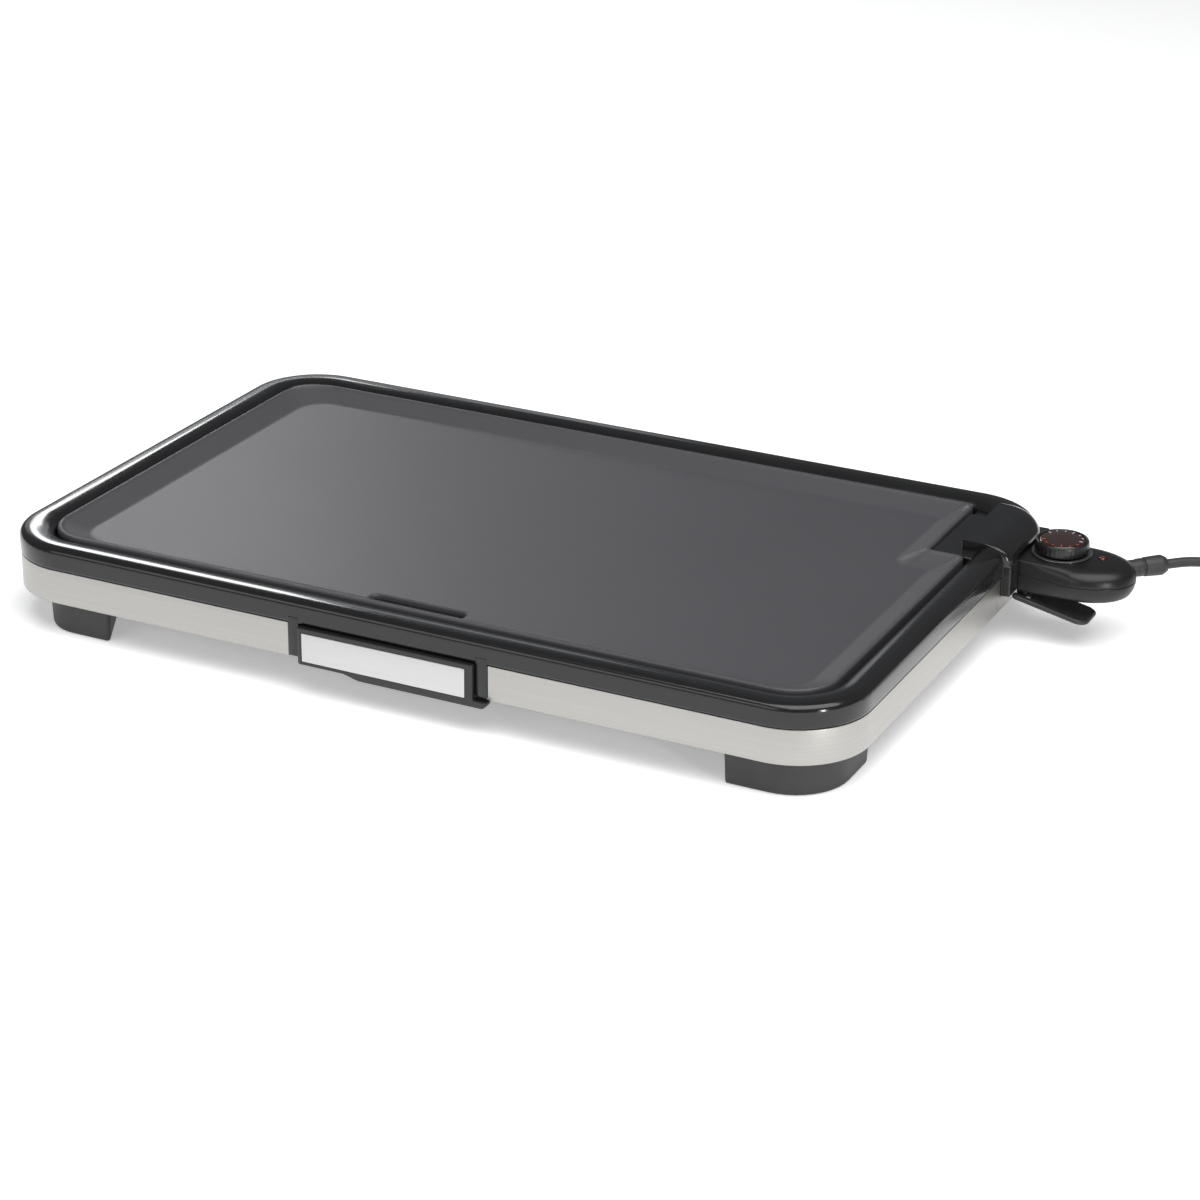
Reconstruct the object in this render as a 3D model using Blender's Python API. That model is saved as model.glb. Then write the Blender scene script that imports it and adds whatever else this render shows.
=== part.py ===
"""Electric griddle with a lift-off plate, a drip drawer and a plug-in heat control.

Metres, +Z up. The drawer faces -Y and the heat control plugs in on the right, at +X.
Shapes are drawn about the middle of the body at the foot of its steel band, and one
empty carries them all to their place over the table.
"""
import math

import bmesh
import bpy
from mathutils import Matrix, Vector

GAP = 0.0003

# Body
BODY_L = 0.560
BODY_W = 0.352
CORNER_R = 0.046
CORNER_SHRINK = 0.8
FOOT_H = 0.022
BAND_H = 0.0215
BAND_INSET = 0.0004
BAND_T = 0.0010
CROWN_Z = 0.0362
LEDGE_Z = 0.0250
LEDGE_UNDER_Z = 0.0223
CORNER_STEPS = 9

# Plate
LIP_INSET = 0.0215
PLATE_TOP_Z = 0.0354
FLOOR_Z = 0.0281
PLATE_UNDER_Z = 0.0242
NOTCH_X = 0.2350
NOTCH_Y = 0.0720
SLOT_X = (-0.037, 0.026)
SLOT_Y = (-0.138, -0.128)

# Drawer
DRAWER_X = (-0.060, 0.056)
DRAWER_PROUD = 0.0036
DRAWER_TOP_Z = 0.0214
PANEL_X = (-0.057, 0.051)
PANEL_Z = (0.0002, 0.0183)
TUB_X = (-0.054, 0.050)
TUB_Y = (-0.1719, -0.0750)
TUB_Z = (0.0029, 0.0135)

# Heat
HEAT_Z = 0.0204
TUBE_R = 0.0032
PIN_R = 0.0023
PIN_Y = (0.103, 0.127)
PROBE_Y = 0.115
PROBE_R = 0.0024

# Heat control
SOCKET_BAY_Y = (0.0785, 0.1510)
SOCKET_BAY_Z = (0.0095, 0.0300)
NOSE_X = (0.2585, 0.3060)
NOSE_Y = (0.0925, 0.1375)
HALF_SEAM = 0.00015
LAMP_X = 0.330
LAMP_Y = 0.118
SLEEVE_PIN_WAY = 0.0042
LEVER_BORE_R = 0.0018
HOUSING_X = 0.318
HOUSING_Y = 0.114
HOUSING_A = 0.0345
HOUSING_B = 0.0260
HOUSING_Z = (0.0080, 0.0300)
CONTROL_REACH = HOUSING_X + HOUSING_A - BODY_L / 2
DIAL_X = 0.305
DIAL_Y = 0.115
DIAL_R = 0.01675
BOSS_TOP_Z = 0.0296
LEVER_X = 0.287
LEVER_Z = 0.0045
LEVER_SLOPE = 0.215
RELIEF_START = Vector((0.3375, 0.1290, 0.0200))
RELIEF_DIR = Vector((0.72, 0.69, 0.0)).normalized()
RELIEF_L = 0.0315

# Cord
CORD_D = 0.0062
COIL_C = Vector((0.4602, 0.1180, 0.0))
COIL_R = 0.0370
COIL_ACROSS = 3
COIL_LAYERS = 2
COIL_LIFT = 0.0016
PLUG_R = 0.0180
LEAD_ROUTE = (
    (0.372, 0.1612, 0.0200), (0.384, 0.1695, 0.0180), (0.396, 0.1740, 0.0120),
    (0.408, 0.1760, 0.0035), (0.420, 0.1755, -0.0060), (0.431, 0.1735, -0.0132),
    (0.441, 0.1710, -0.0174), (0.451, 0.1690, -0.0188),
)
TAIL_ROUTE = (
    (0.5101, 0.110, -0.0186), (0.5101, 0.100, -0.0162), (0.5101, 0.091, -0.0120),
    (0.5101, 0.083, -0.0070), (0.5101, 0.076, -0.0042),
)


def clear_scene():
    for old in list(bpy.data.objects):
        bpy.data.objects.remove(old, do_unlink=True)


def material(name, colour, roughness, metallic=0.0):
    made = bpy.data.materials.new(name)
    made.use_nodes = True
    surface = made.node_tree.nodes["Principled BSDF"]
    surface.inputs["Base Color"].default_value = (*colour, 1.0)
    surface.inputs["Roughness"].default_value = roughness
    surface.inputs["Metallic"].default_value = metallic
    made.diffuse_color = (*colour, 1.0)
    return made


def place(name, shape, surface, parent, at=(0, 0, 0), smooth=False):
    """Turn a finished bmesh into a named object under its parent."""
    bmesh.ops.recalc_face_normals(shape, faces=shape.faces)
    mesh = bpy.data.meshes.new(name)
    shape.to_mesh(mesh)
    shape.free()
    if smooth:
        mesh.shade_smooth()
    mesh.materials.append(surface)
    made = bpy.data.objects.new(name, mesh)
    bpy.context.scene.collection.objects.link(made)
    made.parent = parent
    made.location = at
    return made


def helper(name, shape, parent):
    """A hidden shape that only cuts or joins."""
    made = place(name, shape, MATERIALS["helper"], parent)
    made.hide_render = True
    made.display_type = "WIRE"
    return made


def combine(target, other, operation):
    step = target.modifiers.new(other.name, "BOOLEAN")
    step.operation = operation
    step.solver = "EXACT"
    step.object = other


def box(x, y, z):
    """A plain block between pairs of limits."""
    shape = bmesh.new()
    size = Vector((x[1] - x[0], y[1] - y[0], z[1] - z[0]))
    middle = Vector(((x[0] + x[1]) / 2, (y[0] + y[1]) / 2, (z[0] + z[1]) / 2))
    bmesh.ops.create_cube(
        shape, size=1.0, matrix=Matrix.Translation(middle) @ Matrix.Diagonal((*size, 1.0)),
    )
    return shape


def soft_box(x, y, z, radius, segments=2):
    shape = box(x, y, z)
    bmesh.ops.bevel(
        shape, geom=shape.edges[:], offset=radius, segments=segments, profile=0.5,
        affect="EDGES", material=-1,
    )
    return shape


def rod(start, end, radius, sides=20, end_radius=None):
    """A closed round bar, straight or tapered, between two points."""
    shape = bmesh.new()
    start = Vector(start)
    along = Vector(end) - start
    turn = along.to_track_quat("Z", "Y").to_matrix().to_4x4()
    bmesh.ops.create_cone(
        shape, cap_ends=True, segments=sides, radius1=radius,
        radius2=radius if end_radius is None else end_radius, depth=along.length,
        matrix=Matrix.Translation(start + along / 2) @ turn,
    )
    return shape


def turned(profile, sides=32, axis=(0, 0)):
    """A solid turned about a vertical axis. A profile that leaves the axis out makes a ring."""
    shape = bmesh.new()
    corners = [shape.verts.new((axis[0] + r, axis[1], z)) for r, z in profile]
    edges = [shape.edges.new(pair) for pair in zip(corners, corners[1:])]
    if profile[0][0] > 0 and profile[-1][0] > 0:
        edges.append(shape.edges.new((corners[-1], corners[0])))
    bmesh.ops.spin(
        shape, geom=corners + edges, cent=(*axis, 0), axis=(0, 0, 1), angle=math.tau,
        steps=sides, use_merge=True,
    )
    bmesh.ops.remove_doubles(shape, verts=shape.verts, dist=1e-6)
    return shape


def outline(corners, radii, inset=0.0, shrink=1.0, steps=CORNER_STEPS):
    """An outline given anticlockwise, moved inwards and with each corner rounded."""
    points = []
    count = len(corners)
    for i, corner in enumerate(corners):
        here = Vector(corner)
        arrive = (here - Vector(corners[i - 1])).normalized()
        leave = (Vector(corners[(i + 1) % count]) - here).normalized()
        here += inset * Vector((-arrive.y - leave.y, arrive.x + leave.x)) / (1 + arrive.dot(leave))
        sweep = -arrive.angle_signed(leave)
        outwards = math.copysign(1, sweep)
        radius = max(radii[i] - outwards * shrink * inset, 0.0006)
        start = here - radius * math.tan(abs(sweep) / 2) * arrive
        centre = start + outwards * radius * Vector((-arrive.y, arrive.x))
        for k in range(steps):
            points.append(centre + Matrix.Rotation(sweep * k / (steps - 1), 2) @ (start - centre))
    return points


def rectangle(x, y):
    return [(x[0], y[0]), (x[1], y[0]), (x[1], y[1]), (x[0], y[1])]


BODY = rectangle((-BODY_L / 2, BODY_L / 2), (-BODY_W / 2, BODY_W / 2))


def body_outline(inset):
    return outline(BODY, [CORNER_R] * 4, inset, CORNER_SHRINK)


def loft(rings, closed=False):
    """Skin a stack of equal outlines, capped at both ends or joined back to the first."""
    shape = bmesh.new()
    rows = [[shape.verts.new(point) for point in ring] for ring in rings]
    pairs = list(zip(rows, rows[1:]))
    if closed:
        pairs.append((rows[-1], rows[0]))
    else:
        shape.faces.new(rows[0])
        shape.faces.new(rows[-1])
    for low, high in pairs:
        for i in range(len(low)):
            j = (i + 1) % len(low)
            shape.faces.new((low[i], low[j], high[j], high[i]))
    return shape


def raised(points, z):
    return [(p[0], p[1], z) for p in points]


def prism(points, z):
    return loft([raised(points, z[0]), raised(points, z[1])])


def strip(points, thickness, z):
    """An upright strip of sheet bent along an open line, its thickness to the left of the line."""
    sections = []
    for i, point in enumerate(points):
        before = points[max(i - 1, 0)]
        after = points[min(i + 1, len(points) - 1)]
        along = (after - before).normalized()
        inner = point + thickness * Vector((-along.y, along.x))
        sections.append([(*point, z[0]), (*point, z[1]), (*inner, z[1]), (*inner, z[0])])
    return loft(sections)


def smooth_line(points, step):
    """Points about one step apart on a smooth curve through the given ones."""
    line = []
    for i in range(len(points) - 1):
        a, b = Vector(points[i]), Vector(points[i + 1])
        before = Vector(points[i - 1]) if i else 2 * a - b
        after = Vector(points[i + 2]) if i + 2 < len(points) else 2 * b - a
        pieces = max(1, round((b - a).length / step))
        for k in range(pieces):
            t = k / pieces
            line.append(
                0.5 * (2 * a + (b - before) * t + (2 * before - 5 * a + 4 * b - after) * t**2
                       + (3 * a - before - 3 * b + after) * t**3)
            )
    line.append(Vector(points[-1]))
    return line


def rounded_path(corners, radius, steps):
    """A line through corners in one plane, each inner corner turned on an arc."""
    line = [Vector(corners[0])]
    for i in range(1, len(corners) - 1):
        here = Vector(corners[i])
        arrive = (here - Vector(corners[i - 1])).normalized()
        leave = (Vector(corners[i + 1]) - here).normalized()
        for k in range(steps + 1):
            angle = math.pi / 2 * k / steps
            back, on = 1 - math.sin(angle), 1 - math.cos(angle)
            line.append(here - radius * arrive * back + radius * leave * on)
    line.append(Vector(corners[-1]))
    return line


def tube(name, points, radius, surface, parent, sides=2):
    curve = bpy.data.curves.new(name, "CURVE")
    curve.dimensions = "3D"
    curve.bevel_depth = radius
    curve.bevel_resolution = sides
    curve.use_fill_caps = True
    spline = curve.splines.new("POLY")
    spline.points.add(len(points) - 1)
    for point, place_at in zip(spline.points, points):
        point.co = (*place_at, 1.0)
    curve.materials.append(surface)
    made = bpy.data.objects.new(name, curve)
    bpy.context.scene.collection.objects.link(made)
    made.parent = parent
    return made


MATERIALS = {}


def make_materials():
    looks = {
        "helper": ((0.5, 0.5, 0.5), 0.5, 0.0),
        "frame_black": ((0.012, 0.012, 0.013), 0.12, 0.0),
        "brushed_band": ((0.62, 0.60, 0.57), 0.34, 1.0),
        "pan_black": ((0.020, 0.020, 0.021), 0.55, 0.0),
        "bright_sheet": ((0.70, 0.70, 0.69), 0.25, 1.0),
        "element_steel": ((0.28, 0.27, 0.26), 0.45, 1.0),
        "ceramic_white": ((0.72, 0.69, 0.62), 0.60, 0.0),
        "pin_metal": ((0.66, 0.64, 0.60), 0.28, 1.0),
        "plate_coating": ((0.090, 0.092, 0.096), 0.42, 0.0),
        "tray_grey": ((0.050, 0.050, 0.052), 0.45, 0.0),
        "panel_silver": ((0.78, 0.78, 0.77), 0.30, 1.0),
        "foot_charcoal": ((0.026, 0.026, 0.028), 0.60, 0.0),
        "pad_rubber": ((0.030, 0.030, 0.030), 0.85, 0.0),
        "screw_steel": ((0.45, 0.45, 0.45), 0.35, 1.0),
        "control_black": ((0.018, 0.018, 0.019), 0.38, 0.0),
        "lever_grey": ((0.050, 0.050, 0.052), 0.62, 0.0),
        "dial_black": ((0.010, 0.010, 0.011), 0.22, 0.0),
        "dial_gloss": ((0.030, 0.006, 0.005), 0.08, 0.0),
        "lamp_red": ((0.55, 0.05, 0.02), 0.15, 0.0),
        "cord_black": ((0.030, 0.030, 0.031), 0.50, 0.0),
        "plug_black": ((0.022, 0.022, 0.023), 0.45, 0.0),
    }
    for name, (colour, roughness, metallic) in looks.items():
        MATERIALS[name] = material(name, colour, roughness, metallic)


def make_bezel(parent):
    """The moulded frame: crown, groove, plate ledge, drawer posts and the control hood."""
    section = (
        (0.0000, BAND_H + GAP), (0.0000, 0.0322), (0.0009, 0.0345), (0.0028, 0.0357), (0.0055, CROWN_Z),
        (0.0105, CROWN_Z), (0.0160, 0.0350), (0.0192, 0.0326), (0.0206, 0.0306), (0.0206, LEDGE_Z),
        (0.0300, LEDGE_Z), (0.0300, LEDGE_UNDER_Z), (0.0178, LEDGE_UNDER_Z), (0.0178, 0.0296),
        (0.0140, 0.0322), (0.0098, 0.0332), (0.0058, 0.0331), (0.0030, 0.0308), (0.0030, BAND_H + GAP),
    )
    rings = [raised(body_outline(inset), z) for inset, z in section]
    bezel = place("bezel", loft(rings, closed=True), MATERIALS["frame_black"], parent)

    shelf_x = (NOTCH_X + 0.0009, 0.262)
    shelf_top = 0.0336
    shelf = box(shelf_x, (NOTCH_Y + 0.0009, 0.141), (LEDGE_UNDER_Z, shelf_top))
    combine(bezel, helper("join_shelf", shelf, parent), "UNION")
    recess = box((shelf_x[0] + 0.0001, 0.259), (0.1405, 0.160), (LEDGE_UNDER_Z + 0.0001, 0.0305))
    combine(bezel, helper("join_recess_floor", recess, parent), "UNION")

    hood_rings = []
    for drop_x, drop_y, z in (
        (0.0, 0.0, LEDGE_UNDER_Z + 0.0002), (0.0, 0.0, 0.0310), (0.0012, 0.0008, 0.0348),
        (0.0042, 0.0025, 0.0382), (0.0090, 0.0050, 0.0406), (0.0150, 0.0080, 0.0418),
        (0.0165, 0.0088, 0.0420),
    ):
        plan = rectangle((0.2530, 0.2858 - drop_x), (0.0790, 0.1550 - drop_y))
        points = outline(plan, [0.0015, 0.0060 - 0.2 * drop_x, 0.0285 - 1.05 * drop_x, 0.0030], steps=6)
        hood_rings.append(raised(points, z))
    combine(bezel, helper("join_hood", loft(hood_rings), parent), "UNION")

    skirt = box((0.2690, 0.2855), (0.0791, 0.1500), (0.0101, 0.0300))
    combine(bezel, helper("join_hood_skirt", skirt, parent), "UNION")
    for number, x in enumerate(((-0.0680, -0.0604), (0.0564, 0.0640))):
        post = soft_box(x, (-0.1764, -0.1722), (0.0008, 0.0260), 0.0009)
        combine(bezel, helper(f"join_post_{number}", post, parent), "UNION")

    bay = box((0.2560, 0.2900), (0.0915, 0.1385), (0.0090, 0.0330))
    combine(bezel, helper("cut_bay", bay, parent), "DIFFERENCE")
    pocket = box((0.2300, 0.2565), (0.0935, 0.1365), (0.0150, 0.0305))
    combine(bezel, helper("cut_pocket", pocket, parent), "DIFFERENCE")


def side_line(first_x, arcs, last):
    """The band's line: along the front, round the named corners, to its last point."""
    half_l, half_w = BODY_L / 2 - BAND_INSET, BODY_W / 2 - BAND_INSET
    radius = CORNER_R - CORNER_SHRINK * BAND_INSET
    line = [Vector((first_x, -half_w))]
    for side_x, side_y, start, sweep in arcs:
        centre = Vector((side_x * (half_l - radius), side_y * (half_w - radius)))
        for k in range(CORNER_STEPS):
            angle = start + sweep * k / (CORNER_STEPS - 1)
            line.append(centre + radius * Vector((math.cos(angle), math.sin(angle))))
    line.append(Vector((half_l, last)))
    return line


def make_bands(parent):
    """Two steel strips meet the drawer posts at the front and each other under the hood."""
    quarter = math.pi / 2
    seam_y = 0.0735
    right = side_line(0.0643, ((1, -1, -quarter, quarter),), seam_y)
    place("steel_band_right", strip(right, BAND_T, (0.0, BAND_H)), MATERIALS["brushed_band"], parent)
    round_back = (
        (-1, -1, -quarter, -quarter), (-1, 1, 2 * quarter, -quarter), (1, 1, quarter, -quarter),
    )
    wrap = side_line(-0.0683, round_back, seam_y + 0.0004)
    band = place("steel_band_left", strip(wrap, -BAND_T, (0.0, BAND_H)), MATERIALS["brushed_band"], parent)
    bay = box((0.2700, 0.2900), SOCKET_BAY_Y, SOCKET_BAY_Z)
    combine(band, helper("cut_band_bay", bay, parent), "DIFFERENCE")


FOOT_SPOTS = ((-1, -1), (1, -1), (-1, 1), (1, 1))
SCREW_X = 0.236
SCREW_Y = 0.140
BOSS_X = 0.150
BOSS_Y = 0.092
BOSS_TOP = 0.0141
FOOT_Y = (0.1050, 0.1700)
FOOT_PLANS = {
    "front_left": (0.2000, 0.2550, 0.028), "front_right": (0.2085, 0.2715, 0.036),
    "back_left": (0.2045, 0.2600, 0.026), "back_right": (0.2045, 0.2600, 0.026),
}


def make_base_pan(parent):
    """The moulded pan inside the band, with bosses for the reflector and holes for the feet."""
    section = (
        (0.0017, 0.0003), (0.0017, 0.0212), (0.0037, 0.0212), (0.0037, 0.0023),
    )
    rings = [raised(body_outline(inset), z) for inset, z in section]
    pan = place("base_pan", loft(rings), MATERIALS["pan_black"], parent)
    for number, (side_x, side_y) in enumerate(FOOT_SPOTS):
        x, y = BOSS_X * side_x, BOSS_Y * side_y
        boss = rod((x, y, 0.0015), (x, y, BOSS_TOP), 0.0045, 12)
        combine(pan, helper(f"join_boss_{number}", boss, parent), "UNION")
        x, y = SCREW_X * side_x, SCREW_Y * side_y
        hole = rod((x, y, -0.001), (x, y, 0.004), 0.0024, 12)
        combine(pan, helper(f"cut_screw_{number}", hole, parent), "DIFFERENCE")
    mouth = box((DRAWER_X[0] - 0.0094, DRAWER_X[1] + 0.0106), (-0.180, -0.1718), (-0.001, 0.030))
    combine(pan, helper("cut_drawer_mouth", mouth, parent), "DIFFERENCE")
    bay = box((0.2650, 0.2900), SOCKET_BAY_Y, SOCKET_BAY_Z)
    combine(pan, helper("cut_pan_bay", bay, parent), "DIFFERENCE")


def foot_outline(inset, inner_x, outer_x, corner):
    """The plan of a foot on the right: its outer corner follows the body's and its inner side slants."""
    near, far = FOOT_Y
    corners = [
        (inner_x + 0.032, near), (outer_x, near), (outer_x, far), (inner_x, far), (inner_x, far - 0.004),
    ]
    return outline(corners, [0.004, 0.005, corner, 0.0025, 0.0015], inset, steps=6)


def pad_outline(inset, inner_x, outer_x):
    """The plan of the rubber pad, well inside its foot, with as many points as the foot's."""
    near, far = FOOT_Y[0] + 0.009, FOOT_Y[1] - 0.010
    corners = [
        (inner_x + 0.037, near), (outer_x - 0.008, near), (outer_x - 0.008, far), (inner_x + 0.018, far),
        (inner_x + 0.024, (near + far) / 2),
    ]
    return outline(corners, [0.004, 0.004, 0.012, 0.004, 0.030], inset, steps=6)


def make_feet(parent):
    """Four tapered feet, each with a rubber pad under it and a screw down from the pan."""
    for name, (side_x, side_y) in zip(("front_left", "front_right", "back_left", "back_right"), FOOT_SPOTS):
        rings = []
        for inset, z in ((0.0, 0.0), (0.0006, -0.0100), (0.0010, -0.0202), (0.0016, -0.0215)):
            rings.append([(side_x * p[0], side_y * p[1], z) for p in foot_outline(inset, *FOOT_PLANS[name])])
        inner_x, outer_x = FOOT_PLANS[name][:2]
        for z in (-0.0215, -0.0203):
            rings.append([(side_x * p[0], side_y * p[1], z) for p in pad_outline(-GAP, inner_x, outer_x)])
        foot = place(f"foot_{name}", loft(rings), MATERIALS["foot_charcoal"], parent)
        x, y = SCREW_X * side_x, SCREW_Y * side_y
        hole = rod((x, y, -0.012), (x, y, 0.001), 0.0020, 12)
        combine(foot, helper(f"cut_foot_{name}", hole, parent), "DIFFERENCE")
        rings = []
        for inset, z in ((0.0, -0.0206), (0.0, 0.0004 - FOOT_H), (0.0004, -FOOT_H)):
            rings.append([(side_x * p[0], side_y * p[1], z) for p in pad_outline(inset, inner_x, outer_x)])
        place(f"pad_{name}", loft(rings), MATERIALS["pad_rubber"], parent)
        profile = (
            (0.0, -0.0110), (0.0016, -0.0104), (0.0016, 0.0026), (0.0042, 0.0026), (0.0042, 0.0038),
            (0.0028, 0.0050), (0.0, 0.0050),
        )
        screw = turned(profile, 16, (x, y))
        place(f"screw_{name}", screw, MATERIALS["screw_steel"], parent)


def make_heat_parts(parent):
    """The reflector, the bent element on its saddles, and the terminal block with its pins."""
    area = rectangle((-0.242, 0.234), (-0.1480, 0.1480))
    skins = ((0.0, 0.0164), (0.0030, 0.0144), (0.0034, 0.0152), (0.0007, 0.0166))
    rows = []
    shell = bmesh.new()
    for inset, z in skins:
        rows.append([shell.verts.new(point) for point in raised(outline(area, [0.024] * 4, inset), z)])
    for low, high in ((rows[0], rows[1]), (rows[2], rows[3]), (rows[3], rows[0])):
        for i in range(len(low)):
            j = (i + 1) % len(low)
            shell.faces.new((low[i], low[j], high[j], high[i]))
    shell.faces.new(rows[1])
    shell.faces.new(rows[2])
    reflector = place("heat_reflector", shell, MATERIALS["bright_sheet"], parent)
    chute_hole = prism(
        outline(rectangle((-0.0403, 0.0293), (-0.1413, -0.1247)), [0.008] * 4, steps=5), (0.010, 0.020)
    )
    combine(reflector, helper("cut_chute_hole", chute_hole, parent), "DIFFERENCE")

    chute_rings = []
    for inset, z in ((0.0, 0.0141), (0.0, 0.0238), (0.0012, 0.0238), (0.0012, 0.0141)):
        area = rectangle((-0.0400, 0.0290), (-0.1410, -0.1250))
        chute_rings.append(raised(outline(area, [0.0077] * 4, inset, steps=5), z))
    place("drain_chute", loft(chute_rings, closed=True), MATERIALS["bright_sheet"], parent)

    far, near = PIN_Y[1], PIN_Y[0]
    course = (
        (0.2397, far), (-0.2120, far), (-0.2120, -0.1080), (0.2100, -0.1080), (0.2100, -0.0340),
        (-0.1500, -0.0340),
        (-0.1500, 0.0360), (0.1700, 0.0360), (0.1700, near), (0.2397, near),
    )
    bend = rounded_path([(x, y, HEAT_Z) for x, y in course], 0.022, 5)
    tube("heating_element", bend, TUBE_R, MATERIALS["element_steel"], parent)
    for number, (x, y) in enumerate(((-0.180, far), (-0.180, -0.1080), (0.180, -0.1080), (0.120, 0.0360))):
        saddle = soft_box((x - 0.007, x + 0.007), (y - 0.008, y + 0.008), (0.0155, 0.0169), 0.0004, 1)
        place(f"element_saddle_{number + 1}", saddle, MATERIALS["ceramic_white"], parent)

    block = soft_box((0.2400, 0.2552), (0.0955, 0.1345), (0.0155, 0.0298), 0.0008, 1)
    block = place("terminal_block", block, MATERIALS["ceramic_white"], parent)
    for number, y in enumerate(PIN_Y):
        hole = rod((0.235, y, HEAT_Z), (0.260, y, HEAT_Z), PIN_R + GAP, 16)
        combine(block, helper(f"cut_pin_{number}", hole, parent), "DIFFERENCE")
        pin = rod((0.2401, y, HEAT_Z), (0.2740, y, HEAT_Z), PIN_R, 16)
        bmesh.ops.bevel(
            pin, geom=[e for e in pin.edges if min(v.co.x for v in e.verts) > 0.273], offset=0.0010,
            segments=2, profile=0.5, affect="EDGES", material=-1,
        )
        place(f"terminal_pin_{number + 1}", pin, MATERIALS["pin_metal"], parent)
    way = rod((0.235, PROBE_Y, HEAT_Z), (0.260, PROBE_Y, HEAT_Z), 0.0040, 16)
    combine(block, helper("cut_probe_way", way, parent), "DIFFERENCE")

    guide = place("sensor_guide", rod((0.205, PROBE_Y, HEAT_Z), (0.238, PROBE_Y, HEAT_Z), 0.0035, 20),
                  MATERIALS["pin_metal"], parent)
    bore = rod((0.200, PROBE_Y, HEAT_Z), (0.242, PROBE_Y, HEAT_Z), PROBE_R + 0.0004, 20)
    combine(guide, helper("cut_guide_bore", bore, parent), "DIFFERENCE")


def make_rails(parent):
    for name, x in (("left", TUB_X[0] - 0.0030), ("right", TUB_X[1] + 0.0008)):
        rail = box((x, x + 0.0022), (-0.168, -0.072), (0.0026, 0.0090))
        place(f"tray_rail_{name}", rail, MATERIALS["pan_black"], parent)


def make_plate(parent):
    """The cast cooking plate: floor, sloping wall, rolled lip and a drain slot."""
    side_x = BODY_L / 2 - LIP_INSET
    side_y = BODY_W / 2 - LIP_INSET
    corners = [
        (-side_x, -side_y), (side_x, -side_y), (side_x, NOTCH_Y), (NOTCH_X, NOTCH_Y),
        (NOTCH_X, side_y), (-side_x, side_y),
    ]
    radii = [0.0285, 0.0285, 0.0050, 0.0030, 0.0080, 0.0285]
    section = (
        (0.0195, PLATE_UNDER_Z), (0.0080, 0.0290), (0.0034, 0.0308), (0.0030, 0.0300),
        (0.0030, LEDGE_Z + GAP),
        (0.0, LEDGE_Z + GAP), (0.0, 0.0342), (0.0005, 0.0351), (0.0014, PLATE_TOP_Z), (0.0024, 0.0352),
        (0.0036, 0.0342), (0.0150, 0.0291), (0.0166, 0.0284), (0.0182, FLOOR_Z),
    )
    rings = [raised(outline(corners, radii, inset, 0.55, 6), z) for inset, z in section]
    plate = place("griddle_plate", loft(rings), MATERIALS["plate_coating"], parent)
    slot = outline(rectangle(SLOT_X, SLOT_Y), [0.0048] * 4, steps=6)
    flare = outline(rectangle(SLOT_X, SLOT_Y), [0.0048] * 4, -0.0014, steps=6)
    cutter = loft([raised(slot, 0.020), raised(slot, FLOOR_Z - 0.0014), raised(flare, FLOOR_Z + 0.0002)])
    combine(plate, helper("cut_drain_slot", cutter, parent), "DIFFERENCE")


def make_drawer(parent):
    """The drip tray with its black front, the bright panel on it and the offset finger lip."""
    skins = (
        (0.0, TUB_Z[0]), (0.0, TUB_Z[1]), (0.0015, TUB_Z[1]), (0.0030, TUB_Z[0] + 0.0030),
        (0.0050, TUB_Z[0] + 0.0016),
    )
    rings = [raised(outline(rectangle(TUB_X, TUB_Y), [0.006] * 4, inset), z) for inset, z in skins]
    place("drip_tray", loft(rings), MATERIALS["tray_grey"], parent)

    front_y = -BODY_W / 2 - DRAWER_PROUD
    lip_z = -0.0048
    lip_end = 0.0645
    face = [
        (DRAWER_X[0], DRAWER_TOP_Z), (DRAWER_X[0], -0.0012), (DRAWER_X[0] + 0.0010, -0.0022),
        (-0.0310, -0.0022),
    ]
    for k in range(1, 6):
        t = k / 5
        face.append((-0.0310 + 0.0130 * t, -0.0022 + (lip_z + 0.0022) * (3 * t**2 - 2 * t**3)))
    face += [
        (lip_end - 0.0045, lip_z), (lip_end - 0.0014, lip_z + 0.0012), (lip_end, lip_z + 0.0032),
        (lip_end, -0.0006),
        (DRAWER_X[1], -0.0006), (DRAWER_X[1], DRAWER_TOP_Z),
    ]
    depth = (front_y + 0.0003, front_y + 0.0071)
    shape = loft([[(x, y, z) for x, z in face] for y in depth])
    near = [e for e in shape.edges if max(v.co.y for v in e.verts) < front_y + 0.001]
    bmesh.ops.bevel(shape, geom=near, offset=0.0006, segments=2, profile=0.5, affect="EDGES", material=-1)
    front = place("tray_front", shape, MATERIALS["frame_black"], parent)
    seat = box(
        (PANEL_X[0] - GAP, PANEL_X[1] + GAP), (front_y - 0.002, front_y + 0.0016),
        (PANEL_Z[0] - GAP, PANEL_Z[1] + GAP),
    )
    combine(front, helper("cut_panel_seat", seat, parent), "DIFFERENCE")
    panel = soft_box(PANEL_X, (front_y, front_y + 0.0013), PANEL_Z, 0.0003, 1)
    place("tray_panel", panel, MATERIALS["panel_silver"], parent)


def housing_ring(inset, z):
    """The egg-shaped plan of the control housing."""
    points = []
    for k in range(28):
        angle = math.tau * k / 28
        x = HOUSING_X + (HOUSING_A - inset) * math.cos(angle)
        y = HOUSING_Y + (HOUSING_B - inset) * math.sin(angle)
        points.append((x, y, z))
    return points


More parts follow.
